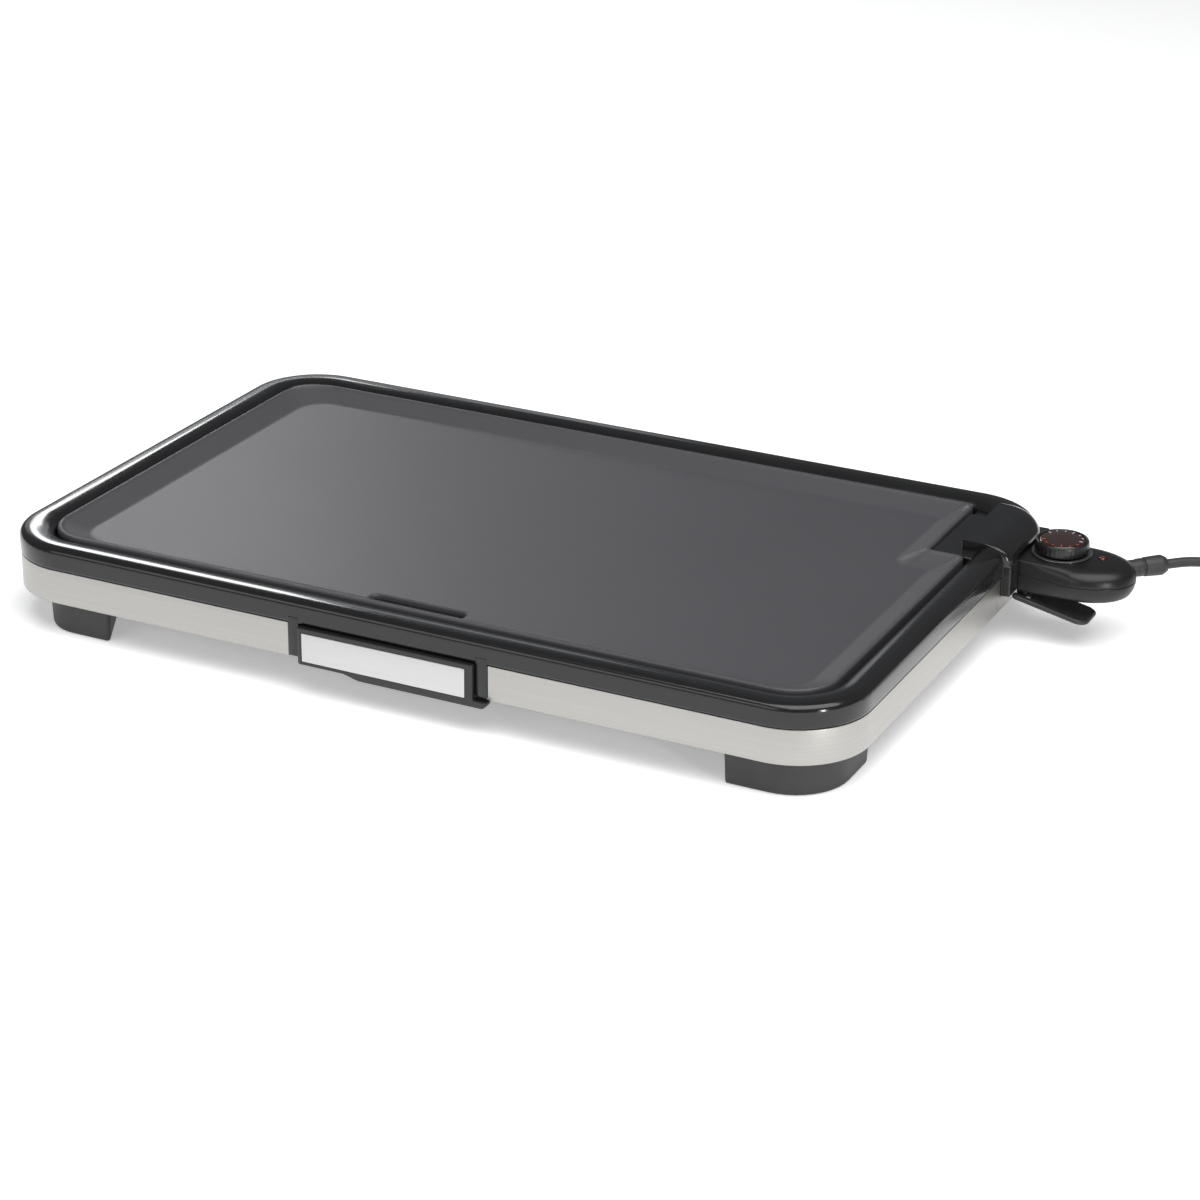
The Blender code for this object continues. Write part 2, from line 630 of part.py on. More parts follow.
def nose_cuts(shell, tag, parent):
    """The hollow nose, its three round ways in and the hole for the strain relief."""
    hollow = box((0.2605, 0.3070), (0.0950, 0.1350), (0.0130, 0.0272))
    combine(shell, helper(f"cut_nose_{tag}", hollow, parent), "DIFFERENCE")
    for y, radius in ((PIN_Y[0], SLEEVE_PIN_WAY), (PROBE_Y, PROBE_R + 0.0005), (PIN_Y[1], SLEEVE_PIN_WAY)):
        way = rod((0.2560, y, HEAT_Z), (0.2620, y, HEAT_Z), radius, 16)
        combine(shell, helper(f"cut_way_{tag}_{y * 1000:.0f}", way, parent), "DIFFERENCE")
    relief = rod(RELIEF_START - 0.004 * RELIEF_DIR, RELIEF_START + 0.020 * RELIEF_DIR, 0.0056, 20)
    combine(shell, helper(f"cut_relief_{tag}", relief, parent), "DIFFERENCE")


def make_control(parent):
    """Two housing shells, the probe and sleeves, the switch, the lamp and the strain relief."""
    black = MATERIALS["control_black"]
    low, high = HOUSING_Z
    split = HEAT_Z
    wall = 0.0020
    lower_skins = (
        (0.0115, low), (0.0068, low + 0.0009), (0.0030, low + 0.0034), (0.0008, low + 0.0074),
        (0.0, split - HALF_SEAM),
        (wall, split - HALF_SEAM), (wall + 0.0008, low + 0.0082), (wall + 0.0034, low + 0.0046),
        (0.0120, low + wall),
    )
    lower = place("control_lower_shell", loft([housing_ring(*skin) for skin in lower_skins]), black, parent)
    nose = soft_box(NOSE_X, NOSE_Y, (0.0105, split + 0.0060), 0.0025)
    bmesh.ops.bisect_plane(
        nose, geom=nose.verts[:] + nose.edges[:] + nose.faces[:], plane_co=(0, 0, split - HALF_SEAM),
        plane_no=(0, 0, 1), clear_outer=True,
    )
    bmesh.ops.holes_fill(nose, edges=[e for e in nose.edges if e.is_boundary])
    combine(lower, helper("join_nose_lower", nose, parent), "UNION")
    for number, y in enumerate(((0.0962, 0.0997), (0.1103, 0.1138))):
        lug = box((LEVER_X - 0.003, LEVER_X + 0.003), y, (LEVER_Z - 0.0028, 0.0135))
        combine(lower, helper(f"join_lug_{number}", lug, parent), "UNION")
    nose_cuts(lower, "lower", parent)
    pin_way = rod((LEVER_X, 0.090, LEVER_Z), (LEVER_X, 0.120, LEVER_Z), LEVER_BORE_R, 16)
    combine(lower, helper("cut_lever_pin", pin_way, parent), "DIFFERENCE")

    upper_skins = (
        (wall, split + HALF_SEAM), (0.0, split + HALF_SEAM), (0.0010, high - 0.0062), (0.0036, high - 0.0027),
        (0.0080, high - 0.0007), (0.0125, high), (0.0130, high - wall), (wall + 0.0050, high - wall - 0.0022),
        (wall + 0.0012, high - 0.0072),
    )
    shell = bmesh.new()
    rows = [[shell.verts.new(point) for point in housing_ring(*skin)] for skin in upper_skins]
    order = [*range(1, 6)]
    for a, b in [*zip(order, order[1:]), (6, 7), (7, 8), (8, 0), (0, 1)]:
        for i in range(len(rows[a])):
            j = (i + 1) % len(rows[a])
            shell.faces.new((rows[a][i], rows[a][j], rows[b][j], rows[b][i]))
    shell.faces.new(rows[5])
    shell.faces.new(rows[6])
    upper = place("control_upper_shell", shell, black, parent)
    nose = soft_box(NOSE_X, NOSE_Y, (split - 0.0060, 0.0292), 0.0025)
    bmesh.ops.bisect_plane(
        nose, geom=nose.verts[:] + nose.edges[:] + nose.faces[:], plane_co=(0, 0, split + HALF_SEAM),
        plane_no=(0, 0, 1), clear_inner=True,
    )
    bmesh.ops.holes_fill(nose, edges=[e for e in nose.edges if e.is_boundary])
    combine(upper, helper("join_nose_upper", nose, parent), "UNION")
    boss = rod((DIAL_X, DIAL_Y, 0.0272), (DIAL_X, DIAL_Y, BOSS_TOP_Z + 0.0008), 0.0186, 32)
    combine(upper, helper("join_boss", boss, parent), "UNION")
    nose_cuts(upper, "upper", parent)
    for number, (x, y, radius) in enumerate(((DIAL_X, DIAL_Y, 0.0032), (LAMP_X, LAMP_Y, 0.0028))):
        hole = rod((x, y, 0.0250), (x, y, 0.0330), radius, 16)
        combine(upper, helper(f"cut_top_{number}", hole, parent), "DIFFERENCE")

    probe = rod((0.1700, PROBE_Y, HEAT_Z), (0.2890, PROBE_Y, HEAT_Z), PROBE_R, 16)
    tip = [e for e in probe.edges if max(v.co.x for v in e.verts) < 0.171]
    bmesh.ops.bevel(probe, geom=tip, offset=0.0016, segments=3, profile=0.5, affect="EDGES", material=-1)
    place("sensor_probe", probe, MATERIALS["pin_metal"], parent)
    for number, y in enumerate(PIN_Y):
        sleeve = rod((0.2595, y, HEAT_Z), (0.2885, y, HEAT_Z), 0.0038, 20)
        sleeve = place(f"contact_sleeve_{number + 1}", sleeve, MATERIALS["pin_metal"], parent)
        bore = rod((0.2550, y, HEAT_Z), (0.2765, y, HEAT_Z), PIN_R + 0.0004, 20)
        combine(sleeve, helper(f"cut_sleeve_{number}", bore, parent), "DIFFERENCE")
    switch = soft_box((0.2900, 0.3240), (0.1030, 0.1270), (0.0144, 0.0240), 0.0010, 1)
    place("thermostat_switch", switch, MATERIALS["ceramic_white"], parent)
    lamp = turned(
        ((0.0, 0.0262), (0.0022, 0.0262), (0.0022, 0.0301), (0.0020, 0.0306), (0.0012, 0.0310), (0.0, 0.0311)),
        16, (LAMP_X, LAMP_Y),
    )
    place("pilot_lamp", lamp, MATERIALS["lamp_red"], parent, smooth=True)
    collar_z = BOSS_TOP_Z + 0.0011
    collar = turned(
        ((0.0160, collar_z), (0.0183, collar_z), (0.0185, collar_z + 0.0003), (0.0181, collar_z + 0.0008),
         (0.0160, collar_z + 0.0006)), 40, (DIAL_X, DIAL_Y),
    )
    place("dial_collar", collar, MATERIALS["control_black"], parent, smooth=True)
    pin = rod((LEVER_X, 0.0965, LEVER_Z), (LEVER_X, 0.1135, LEVER_Z), 0.0015, 16)
    place("lever_pin", pin, MATERIALS["screw_steel"], parent)
    make_control_screws(lower, parent)


def make_control_screws(lower, parent):
    for number, (x, y) in enumerate(((0.3330, 0.1060), (0.3270, 0.1260))):
        hole = rod((x, y, 0.0060), (x, y, 0.0115), 0.0030, 16)
        combine(lower, helper(f"cut_control_screw_{number}", hole, parent), "DIFFERENCE")
        profile = (
            (0.0, 0.0084), (0.0023, 0.0084), (0.0026, 0.0098), (0.0013, 0.0110), (0.0013, 0.0240),
            (0.0, 0.0250),
        )
        place(f"control_screw_{number + 1}", turned(profile, 16, (x, y)), MATERIALS["screw_steel"], parent)


def make_strain_relief(parent):
    """A moulded sleeve with one groove and a tapered end, held in the housing by its first length."""
    profile = [
        (0.0, 0.0), (0.0052, 0.0), (0.0052, 0.0112), (0.0056, 0.0116), (0.0057, 0.0150), (0.0050, 0.0153),
        (0.0050, 0.0162), (0.0060, 0.0165), (0.0064, 0.0275), (0.0062, 0.0285), (0.0051, RELIEF_L - 0.0008),
        (0.0046, RELIEF_L), (0.0, RELIEF_L),
    ]
    relief = place("strain_relief", turned(profile, 24), MATERIALS["cord_black"], parent, RELIEF_START)
    relief.rotation_mode = "QUATERNION"
    relief.rotation_quaternion = RELIEF_DIR.to_track_quat("Z", "Y")


def make_dial(parent):
    """The temperature dial turns on a short shaft; its origin is on its axis."""
    at = (DIAL_X, DIAL_Y, BOSS_TOP_Z + 0.0023)
    profile = (
        (0.0027, 0.0), (0.0150, 0.0), (0.0164, 0.0004), (DIAL_R, 0.0030), (0.0164, 0.0066), (0.0158, 0.0076),
        (0.0150, 0.0078), (0.0143, 0.0070), (0.0143, 0.0060), (0.0, 0.0060), (0.0, 0.0052), (0.0027, 0.0052),
    )
    place("dial_knob", turned(profile, 40), MATERIALS["dial_black"], parent, at)
    profile = (
        (0.0, 0.0063), (0.0140, 0.0063), (0.0140, 0.0071), (0.0130, 0.0076), (0.0070, 0.0079), (0.0, 0.0080),
    )
    place("dial_cap", turned(profile, 40), MATERIALS["dial_gloss"], parent, at, smooth=True)
    shaft = turned(((0.0, -0.0074), (0.0023, -0.0074), (0.0023, 0.0049), (0.0, 0.0049)), 20)
    place("dial_shaft", shaft, MATERIALS["pin_metal"], parent, at)


def make_lever(parent):
    """The release lever: a neck on the pin beside a cheek, then a wide paddle that slopes down and out."""
    plan = [
        (-0.0030, 0.100), (0.0060, 0.100), (0.0060, 0.0957), (-0.0042, 0.0957), (-0.0042, 0.0905),
        (0.0360, 0.0905),
    ]
    for k in range(6):
        angle = -math.pi / 2 + math.pi / 2 * k / 5
        plan.append((0.0360 + 0.0075 * math.cos(angle), 0.0980 + 0.0075 * math.sin(angle)))
    plan += [(0.0420, 0.1130), (0.0390, 0.1155), (0.0090, 0.1155), (0.0070, 0.110), (-0.0030, 0.110)]
    unique = [p for i, p in enumerate(plan) if i == 0 or (Vector(p) - Vector(plan[i - 1])).length > 1e-5]
    rings = [[(x, y - 0.105, height - LEVER_SLOPE * x) for x, y in unique] for height in (-0.0008, 0.0022)]
    lever = place("release_lever", loft(rings), MATERIALS["lever_grey"], parent, (LEVER_X, 0.105, LEVER_Z))
    bore = rod((LEVER_X, 0.090, LEVER_Z), (LEVER_X, 0.120, LEVER_Z), LEVER_BORE_R, 16)
    combine(lever, helper("cut_lever_bore", bore, parent), "DIFFERENCE")


def make_cord(parent):
    """The mains lead down to its storage coil, the coil, its tie, the tail and the plug."""
    surface = MATERIALS["cord_black"]
    radius = CORD_D / 2
    across = COIL_ACROSS * CORD_D / 2
    coil_low = -FOOT_H + COIL_LIFT
    coil_high = coil_low + COIL_LAYERS * CORD_D
    leave = COIL_R + across + radius + 0.0005
    start = RELIEF_START + (RELIEF_L + GAP) * RELIEF_DIR
    end = COIL_C + Vector((0.0, leave, -FOOT_H + radius + 0.0001))
    tube("cord", smooth_line([start, *LEAD_ROUTE, end], 0.013), radius, surface, parent)

    inner_r, outer_r, soft = COIL_R - across, COIL_R + across, 0.0020
    ring = (
        (inner_r, coil_low + soft), (inner_r + soft, coil_low), (outer_r - soft, coil_low),
        (outer_r, coil_low + soft), (outer_r, coil_high - soft), (outer_r - soft, coil_high),
        (inner_r + soft, coil_high), (inner_r, coil_high - soft),
    )
    place("cord_coil", turned(ring, 36, COIL_C[:2]), surface, parent, smooth=True)

    tail_x = COIL_C.x + leave
    plug_y = 0.0672
    plug_l = 0.0410
    plug_z = -FOOT_H + PLUG_R + 0.0002
    tail = [(tail_x, COIL_C.y, -FOOT_H + radius + 0.0001), *TAIL_ROUTE, (tail_x, plug_y + 2 * GAP, plug_z)]
    tube("cord_tail", smooth_line(tail, 0.010), radius, surface, parent)

    profile = (
        (0.0, 0.0), (0.0046, 0.0), (0.0058, 0.0090), (0.0070, 0.0100), (0.0100, 0.0160), (0.0150, 0.0210),
        (PLUG_R - 0.0012, 0.0235), (PLUG_R, 0.0250), (PLUG_R, plug_l - 0.0010), (PLUG_R - 0.0010, plug_l),
        (0.0, plug_l),
    )
    plug_at = (tail_x, plug_y, plug_z)
    plug = place("plug_body", turned(profile, 28), MATERIALS["plug_black"], parent, plug_at)
    plug.rotation_euler = (math.pi / 2, 0.0, 0.0)
    for number, side in enumerate((-0.0095, 0.0095)):
        tip = plug_y - plug_l - GAP
        pin = rod((tail_x + side, tip, plug_z), (tail_x + side, tip - 0.0190, plug_z), 0.0024, 16)
        rounded = [e for e in pin.edges if max(v.co.y for v in e.verts) < tip - 0.018]
        bmesh.ops.bevel(pin, geom=rounded, offset=0.0012, segments=2, profile=0.5, affect="EDGES", material=-1)
        place(f"plug_pin_{number + 1}", pin, MATERIALS["pin_metal"], parent)

    reach = across + 0.0004
    middle = Vector((COIL_C.x, COIL_C.y - COIL_R))
    low, high = coil_low - 0.0003, coil_high + 0.0003
    band = 0.0011
    outer = rectangle((middle.y - reach - band, middle.y + reach + band), (low - band, high + band))
    inner = rectangle((middle.y - reach, middle.y + reach), (low, high))
    rings = []
    for side, loop in ((-1, outer), (1, outer), (1, inner), (-1, inner)):
        rings.append([(middle.x + side * 0.003, y, z) for y, z in loop])
    place("coil_tie", loft(rings, closed=True), MATERIALS["pad_rubber"], parent)


def build():
    clear_scene()
    make_materials()
    griddle = bpy.data.objects.new("griddle", None)
    bpy.context.scene.collection.objects.link(griddle)
    griddle.location = (-CONTROL_REACH / 2, DRAWER_PROUD / 2, FOOT_H)
    for make in (
        make_bezel, make_bands, make_base_pan, make_feet, make_heat_parts, make_rails, make_plate, make_drawer,
        make_control, make_strain_relief, make_dial, make_lever, make_cord,
    ):
        make(griddle)


build()
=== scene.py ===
"""The looks of an electric griddle: coated plate, glossy frame, steel band and plug-in heat control."""
import math

import bmesh
import bpy
from mathutils import Matrix, Vector


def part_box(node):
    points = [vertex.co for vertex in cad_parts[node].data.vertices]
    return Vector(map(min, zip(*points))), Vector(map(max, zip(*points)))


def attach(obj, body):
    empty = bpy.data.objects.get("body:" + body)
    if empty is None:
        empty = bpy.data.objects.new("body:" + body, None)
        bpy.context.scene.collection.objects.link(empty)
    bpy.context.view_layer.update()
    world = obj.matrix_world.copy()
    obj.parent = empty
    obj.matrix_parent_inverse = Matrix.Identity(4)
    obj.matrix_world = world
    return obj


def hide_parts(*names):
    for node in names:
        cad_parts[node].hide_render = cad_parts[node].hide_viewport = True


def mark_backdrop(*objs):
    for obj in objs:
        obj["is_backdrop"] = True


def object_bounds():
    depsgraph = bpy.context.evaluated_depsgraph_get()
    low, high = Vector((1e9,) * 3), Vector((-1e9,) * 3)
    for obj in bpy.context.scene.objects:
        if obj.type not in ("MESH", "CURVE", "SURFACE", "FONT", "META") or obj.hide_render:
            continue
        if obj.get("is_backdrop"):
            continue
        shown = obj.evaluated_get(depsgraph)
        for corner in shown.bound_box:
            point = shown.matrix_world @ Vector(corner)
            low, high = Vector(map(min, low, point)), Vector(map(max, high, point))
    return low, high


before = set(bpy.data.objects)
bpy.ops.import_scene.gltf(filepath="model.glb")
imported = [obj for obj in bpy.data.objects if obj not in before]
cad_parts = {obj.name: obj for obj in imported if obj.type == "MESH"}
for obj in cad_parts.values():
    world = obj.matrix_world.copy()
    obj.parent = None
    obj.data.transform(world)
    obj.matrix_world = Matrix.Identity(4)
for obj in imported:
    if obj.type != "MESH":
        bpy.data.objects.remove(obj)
cad_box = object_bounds()

# ---- Table, light and camera -------------------------------------------------------------
# A pale table under soft boxes: a large one overhead and a wide one in front. Two smaller ones
# behind on the left draw the bright line along the frame, and a narrow one lights the right.

pan_low, pan_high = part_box("base_pan")
PAN_TO_BAND_FOOT = 0.0003
MIDDLE = Vector(((pan_low.x + pan_high.x) / 2, (pan_low.y + pan_high.y) / 2, pan_low.z - PAN_TO_BAND_FOOT))

scene = bpy.context.scene
scene.view_settings.view_transform = "Standard"
scene.view_settings.look = "None"
scene.world = bpy.data.worlds.new("studio")
scene.world.use_nodes = True
sky = scene.world.node_tree.nodes["Background"].inputs
sky["Color"].default_value = (0.93, 0.96, 1.0, 1.0)
sky["Strength"].default_value = 0.14

table = bmesh.new()
bmesh.ops.create_grid(table, x_segments=1, y_segments=1, size=6.0)
table_mesh = bpy.data.meshes.new("table")
table.to_mesh(table_mesh)
table.free()
table_top = bpy.data.objects.new("table", table_mesh)
scene.collection.objects.link(table_top)
paper = bpy.data.materials.new("paper")
paper.use_nodes = True
paper_face = paper.node_tree.nodes["Principled BSDF"].inputs
paper_face["Base Color"].default_value = (0.93, 0.93, 0.93, 1.0)
paper_face["Roughness"].default_value = 0.9
paper_face["Specular IOR Level"].default_value = 0.1
paper_face["Emission Color"].default_value = (1.0, 1.0, 1.0, 1.0)
paper_face["Emission Strength"].default_value = 0.35
table_mesh.materials.append(paper)


def soft_box(name, at, aim, width, height, power, colour=(1.0, 1.0, 1.0)):
    lamp = bpy.data.lights.new(name, "AREA")
    lamp.shape = "RECTANGLE"
    lamp.size = width
    lamp.size_y = height
    lamp.energy = power
    lamp.color = colour
    holder = bpy.data.objects.new(name, lamp)
    holder.location = at
    holder.rotation_mode = "QUATERNION"
    holder.rotation_quaternion = (Vector(at) - Vector(aim)).to_track_quat("Z", "Y")
    scene.collection.objects.link(holder)
    return holder


COOL, WARM = (0.92, 0.96, 1.0), (1.0, 0.97, 0.93)
overhead = soft_box("overhead", (0.65, -0.45, 2.2), (0.0, 0.0, 0.0), 2.6, 2.4, 72)
back_left = soft_box("back_left", (-1.45, 1.75, 0.80), (-0.1, 0.0, 0.05), 1.3, 0.55, 1.6, COOL)
rim_light = soft_box("rim_light", (-1.38, 1.50, 1.00), (-0.2, -0.15, 0.04), 0.42, 0.32, 4.0)
corner_light = soft_box("corner_light", (1.30, -0.75, 0.22), (0.25, -0.15, 0.02), 0.12, 0.40, 5.0, WARM)
front = soft_box("front", (-0.9, -2.5, 1.1), (0.0, 0.0, 0.0), 2.2, 1.2, 14)
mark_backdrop(table_top, overhead, back_left, rim_light, corner_light, front)

CAMERA_AT = MIDDLE + Vector((0.85354, -1.63440, 0.78796))
CAMERA_TURN, CAMERA_TILT, CAMERA_ROLL = math.radians(26.23), math.radians(23.62), math.radians(0.562)
camera = bpy.data.objects.new("camera", bpy.data.cameras.new("camera"))
camera.data.sensor_width = 36.0
camera.data.lens = 96.6265
camera.data.clip_end = 50.0
camera.matrix_world = (
    Matrix.Translation(CAMERA_AT) @ Matrix.Rotation(CAMERA_TURN, 4, "Z")
    @ Matrix.Rotation(math.pi / 2 - CAMERA_TILT, 4, "X") @ Matrix.Rotation(CAMERA_ROLL, 4, "Z")
)
scene.collection.objects.link(camera)
scene.camera = camera

# ---- Mains lead --------------------------------------------------------------------------
# A round three-core flex in a smooth dark sheath. It leaves the control through a grooved
# relief, drops to the table, and its spare length is wound into a neat coil held by a strap.

LEAD_D = 0.0062
COIL_MIDDLE = Vector((0.4602, 0.1180, 0.0))
COIL_R = 0.0370
RELIEF_FROM = Vector((0.3375, 0.1290, 0.0200))
RELIEF_ALONG = Vector((0.72, 0.69, 0.0)).normalized()
RELIEF_L = 0.0315


class Tone:
    """A value or colour on its way through a material, so that formulas read as sums."""

    tree = None

    def __init__(self, socket):
        self.socket = socket

    @classmethod
    def node(cls, kind, settings=None, output=0, **inputs):
        """A node of the finish being made. Inputs are named, or numbered as n0, n1 and so on."""
        made = cls.tree.nodes.new(kind)
        for key, value in (settings or {}).items():
            setattr(made, key, value)
        for key, value in inputs.items():
            socket = made.inputs[int(key[1:]) if key[1:].isdigit() else key]
            if isinstance(value, Tone):
                cls.tree.links.new(value.socket, socket)
            else:
                socket.default_value = value
        return cls(made.outputs[output])

    def sum(self, how, other):
        return Tone.node("ShaderNodeMath", {"operation": how}, n0=self, n1=other)

    def __add__(self, other):
        return self.sum("ADD", other)

    def __sub__(self, other):
        return self.sum("SUBTRACT", other)

    def __mul__(self, other):
        return self.sum("MULTIPLY", other)

    def __truediv__(self, other):
        return self.sum("DIVIDE", other)

    __radd__ = __add__
    __rmul__ = __mul__

    def clamp(self, low, high):
        return self.sum("MAXIMUM", low).sum("MINIMUM", high)

    def over(self, low, high):
        """0 below low, 1 above high, and even in between."""
        return ((self - low) / (high - low)).clamp(0.0, 1.0)

    def tint(self, dark, light):
        return Tone.node(
            "ShaderNodeMix", {"data_type": "RGBA"}, output=2, n0=self, n6=(*dark, 1.0), n7=(*light, 1.0)
        )


def grain(scale, detail=3.0, rough=0.55, stretch=(1.0, 1.0, 1.0)):
    """Soft noise over the piece's own coordinates, from 0 to 1."""
    place = Tone.node("ShaderNodeTexCoord", output=3)
    place = Tone.node("ShaderNodeMapping", n0=place, n3=stretch)
    return Tone.node("ShaderNodeTexNoise", n0=place, Scale=scale, Detail=detail, Roughness=rough)


def finish(name, colour, roughness, metallic=0.0, bump=None, depth=0.0, **sockets):
    """A finish whose colour, roughness and bump may be formulas built on this finish's own tree."""
    made = bpy.data.materials.new(name)
    made.use_nodes = True
    Tone.tree = made.node_tree
    surface = made.node_tree.nodes["Principled BSDF"]
    values = {"Base Color": colour, "Roughness": roughness, "Metallic": metallic}
    values.update({key.replace("_", " "): value for key, value in sockets.items()})
    for key, value in values.items():
        value = value() if callable(value) else value
        if isinstance(value, Tone):
            made.node_tree.links.new(value.socket, surface.inputs[key])
        elif isinstance(value, tuple):
            surface.inputs[key].default_value = (*value, 1.0)
        else:
            surface.inputs[key].default_value = value
    if bump:
        lumps = Tone.node("ShaderNodeBump", Strength=1.0, Distance=depth, Height=bump())
        made.node_tree.links.new(lumps.socket, surface.inputs["Normal"])
    return made


def smooth_line(points, step):
    """Points about one step apart on a smooth curve through the given ones."""
    line = []
    for i in range(len(points) - 1):
        a, b = Vector(points[i]), Vector(points[i + 1])
        before = Vector(points[i - 1]) if i else 2 * a - b
        after = Vector(points[i + 2]) if i + 2 < len(points) else 2 * b - a
        pieces = max(1, round((b - a).length / step))
        for k in range(pieces):
            t = k / pieces
            line.append(
                0.5 * (2 * a + (b - before) * t + (2 * before - 5 * a + 4 * b - after) * t**2
                       + (3 * a - before - 3 * b + after) * t**3)
            )
    line.append(Vector(points[-1]))
    return line


def eased(t):
    t = min(max(t, 0.0), 1.0)
    return t * t * (3 - 2 * t)


def coil_turns(turns):
    """Turns laid side by side in two layers, each sliding over to the next lane near its end."""
    lanes = ((0, 0), (-1, 0), (-1, 1), (0, 1), (1, 1), (1, 1))
    per_turn = 20
    for k in range(round(turns * per_turn) + 1):
        at = k / per_turn
        lane = min(int(at), len(lanes) - 2)
        slide = eased((at - lane - 0.6) / 0.4)
        across = lanes[lane][0] + (lanes[lane + 1][0] - lanes[lane][0]) * slide
        up = lanes[lane][1] + (lanes[lane + 1][1] - lanes[lane][1]) * slide
        radius = COIL_R + across * LEAD_D
        radius += (COIL_LEAVE - COIL_R) * (1 - eased(at / 0.3))
        radius += (COIL_LEAVE - COIL_R - LEAD_D) * eased((at - turns + 0.25) / 0.25)
        up *= 1 - eased((at - turns + 0.12) / 0.12)
        angle = math.pi / 2 - math.tau * at
        height = LEAD_LOW_Z + up * LEAD_D
        yield COIL_MIDDLE + Vector((radius * math.cos(angle), radius * math.sin(angle), height))


COIL_LEAVE = COIL_R + 2 * LEAD_D + 0.0005
LEAD_LOW_Z = -0.0188
RELIEF_END = RELIEF_FROM + (RELIEF_L + 0.0003) * RELIEF_ALONG
DOWN_TO_TABLE = (
    (0.372, 0.1612, 0.0200), (0.384, 0.1695, 0.0180), (0.396, 0.1740, 0.0120), (0.408, 0.1760, 0.0035),
    (0.420, 0.1755, -0.0060), (0.431, 0.1735, -0.0132), (0.441, 0.1710, -0.0174), (0.451, 0.1690, LEAD_LOW_Z),
)
TAIL_X = 0.5101
TO_THE_PLUG = (
    (TAIL_X, 0.110, -0.0186), (TAIL_X, 0.100, -0.0162), (TAIL_X, 0.091, -0.0120), (TAIL_X, 0.083, -0.0070),
    (TAIL_X, 0.076, -0.0042), (TAIL_X, 0.0676, -0.0038),
)
route = smooth_line([RELIEF_END, *DOWN_TO_TABLE, *coil_turns(5.25), *TO_THE_PLUG], 0.004)
route = [MIDDLE + Vector(point) for point in route]
lead_curve = bpy.data.curves.new("lead", "CURVE")
lead_curve.dimensions = "3D"
lead_curve.bevel_depth = LEAD_D / 2
lead_curve.bevel_resolution = 4
lead_curve.use_fill_caps = True
spline = lead_curve.splines.new("POLY")
spline.points.add(len(route) - 1)
for point, at in zip(spline.points, route):
    point.co = (*at, 1.0)
sheath = finish(
    "lead_sheath", lambda: grain(60.0).tint((0.020, 0.020, 0.021), (0.034, 0.034, 0.036)),
    lambda: 0.42 + 0.16 * grain(140.0), bump=lambda: grain(900.0, 2.0), depth=0.00006,
)
lead_curve.materials.append(sheath)
lead = bpy.data.objects.new("lead", lead_curve)
scene.collection.objects.link(lead)
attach(lead, "control")
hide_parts("cord", "cord_coil", "cord_tail")

# ---- Frame -------------------------------------------------------------------------------
# One gloss black moulding: a rounded rim whose inner ledge carries the plate, a shelf and a
# hood over the control's socket on the right, and two posts beside the drawer.

HALF_L, HALF_W = 0.560 / 2, 0.352 / 2
BODY_CORNERS = ((-HALF_L, -HALF_W), (HALF_L, -HALF_W), (HALF_L, HALF_W), (-HALF_L, HALF_W))
CORNER_R = 0.046


def level(mesh, corners, radii, z, inset=0.0, shrink=1.0, steps=14):
    """A closed loop of edges at one height: the corners moved inwards, then each one rounded."""
    before = set(mesh.edges)
    verts, rounds = [], []
    for i, corner in enumerate(corners):
        here = Vector(corner)
        arrive = (here - Vector(corners[i - 1])).normalized()
        leave = (Vector(corners[(i + 1) % len(corners)]) - here).normalized()
        inwards = Vector((-arrive.y - leave.y, arrive.x + leave.x))
        here += inset * inwards / (1 + arrive.dot(leave))
        turn = arrive.angle_signed(leave)
        radius = max(radii[i] + math.copysign(shrink * inset, turn), 0.0004) if radii[i] else 0.0
        verts.append(mesh.verts.new((here.x, here.y, z)))
        rounds.append(radius * math.tan(abs(turn) / 2))
    for i in range(len(verts)):
        mesh.edges.new((verts[i - 1], verts[i]))
    for vert, amount in zip(verts, rounds):
        if amount:
            bmesh.ops.bevel(
                mesh, geom=[vert], offset=amount, offset_type="OFFSET", segments=steps, profile=0.5,
                affect="VERTICES", material=-1,
            )
    return [edge for edge in mesh.edges if edge not in before]


def skin(mesh, loops, ring=False):
    """Bridges each loop to the next; the ends are closed unless the last joins the first."""
    for near, far in zip(loops, loops[1:] + loops[:1] if ring else loops[1:]):
        bmesh.ops.bridge_loops(mesh, edges=near + far)
    if not ring:
        for loop in (loops[0], loops[-1]):
            bmesh.ops.contextual_create(mesh, geom=loop)


def rounded(points, most, steps=4, closed=False):
    """The same line with each corner eased over at most the given length."""
    line = []
    count = len(points)
    for i, point in enumerate(points):
        if not closed and i in (0, count - 1):
            line.append(tuple(point))
            continue
        here = Vector(point)
        to_before, to_after = Vector(points[i - 1]) - here, Vector(points[(i + 1) % count]) - here
        start = here + to_before * min(0.45, most / to_before.length)
        end = here + to_after * min(0.45, most / to_after.length)
        for k in range(steps + 1):
            t = k / steps
            line.append(tuple(start * (1 - t) ** 2 + here * 2 * t * (1 - t) + end * t * t))
    return line


def body_ring(mesh, section, most):
    """A closed section swept round the outline of the body."""
    skin(mesh, [
        level(mesh, BODY_CORNERS, [CORNER_R] * 4, z, inset, 0.8, 18)
        for inset, z in rounded(section, most, 3, closed=True)
    ], ring=True)


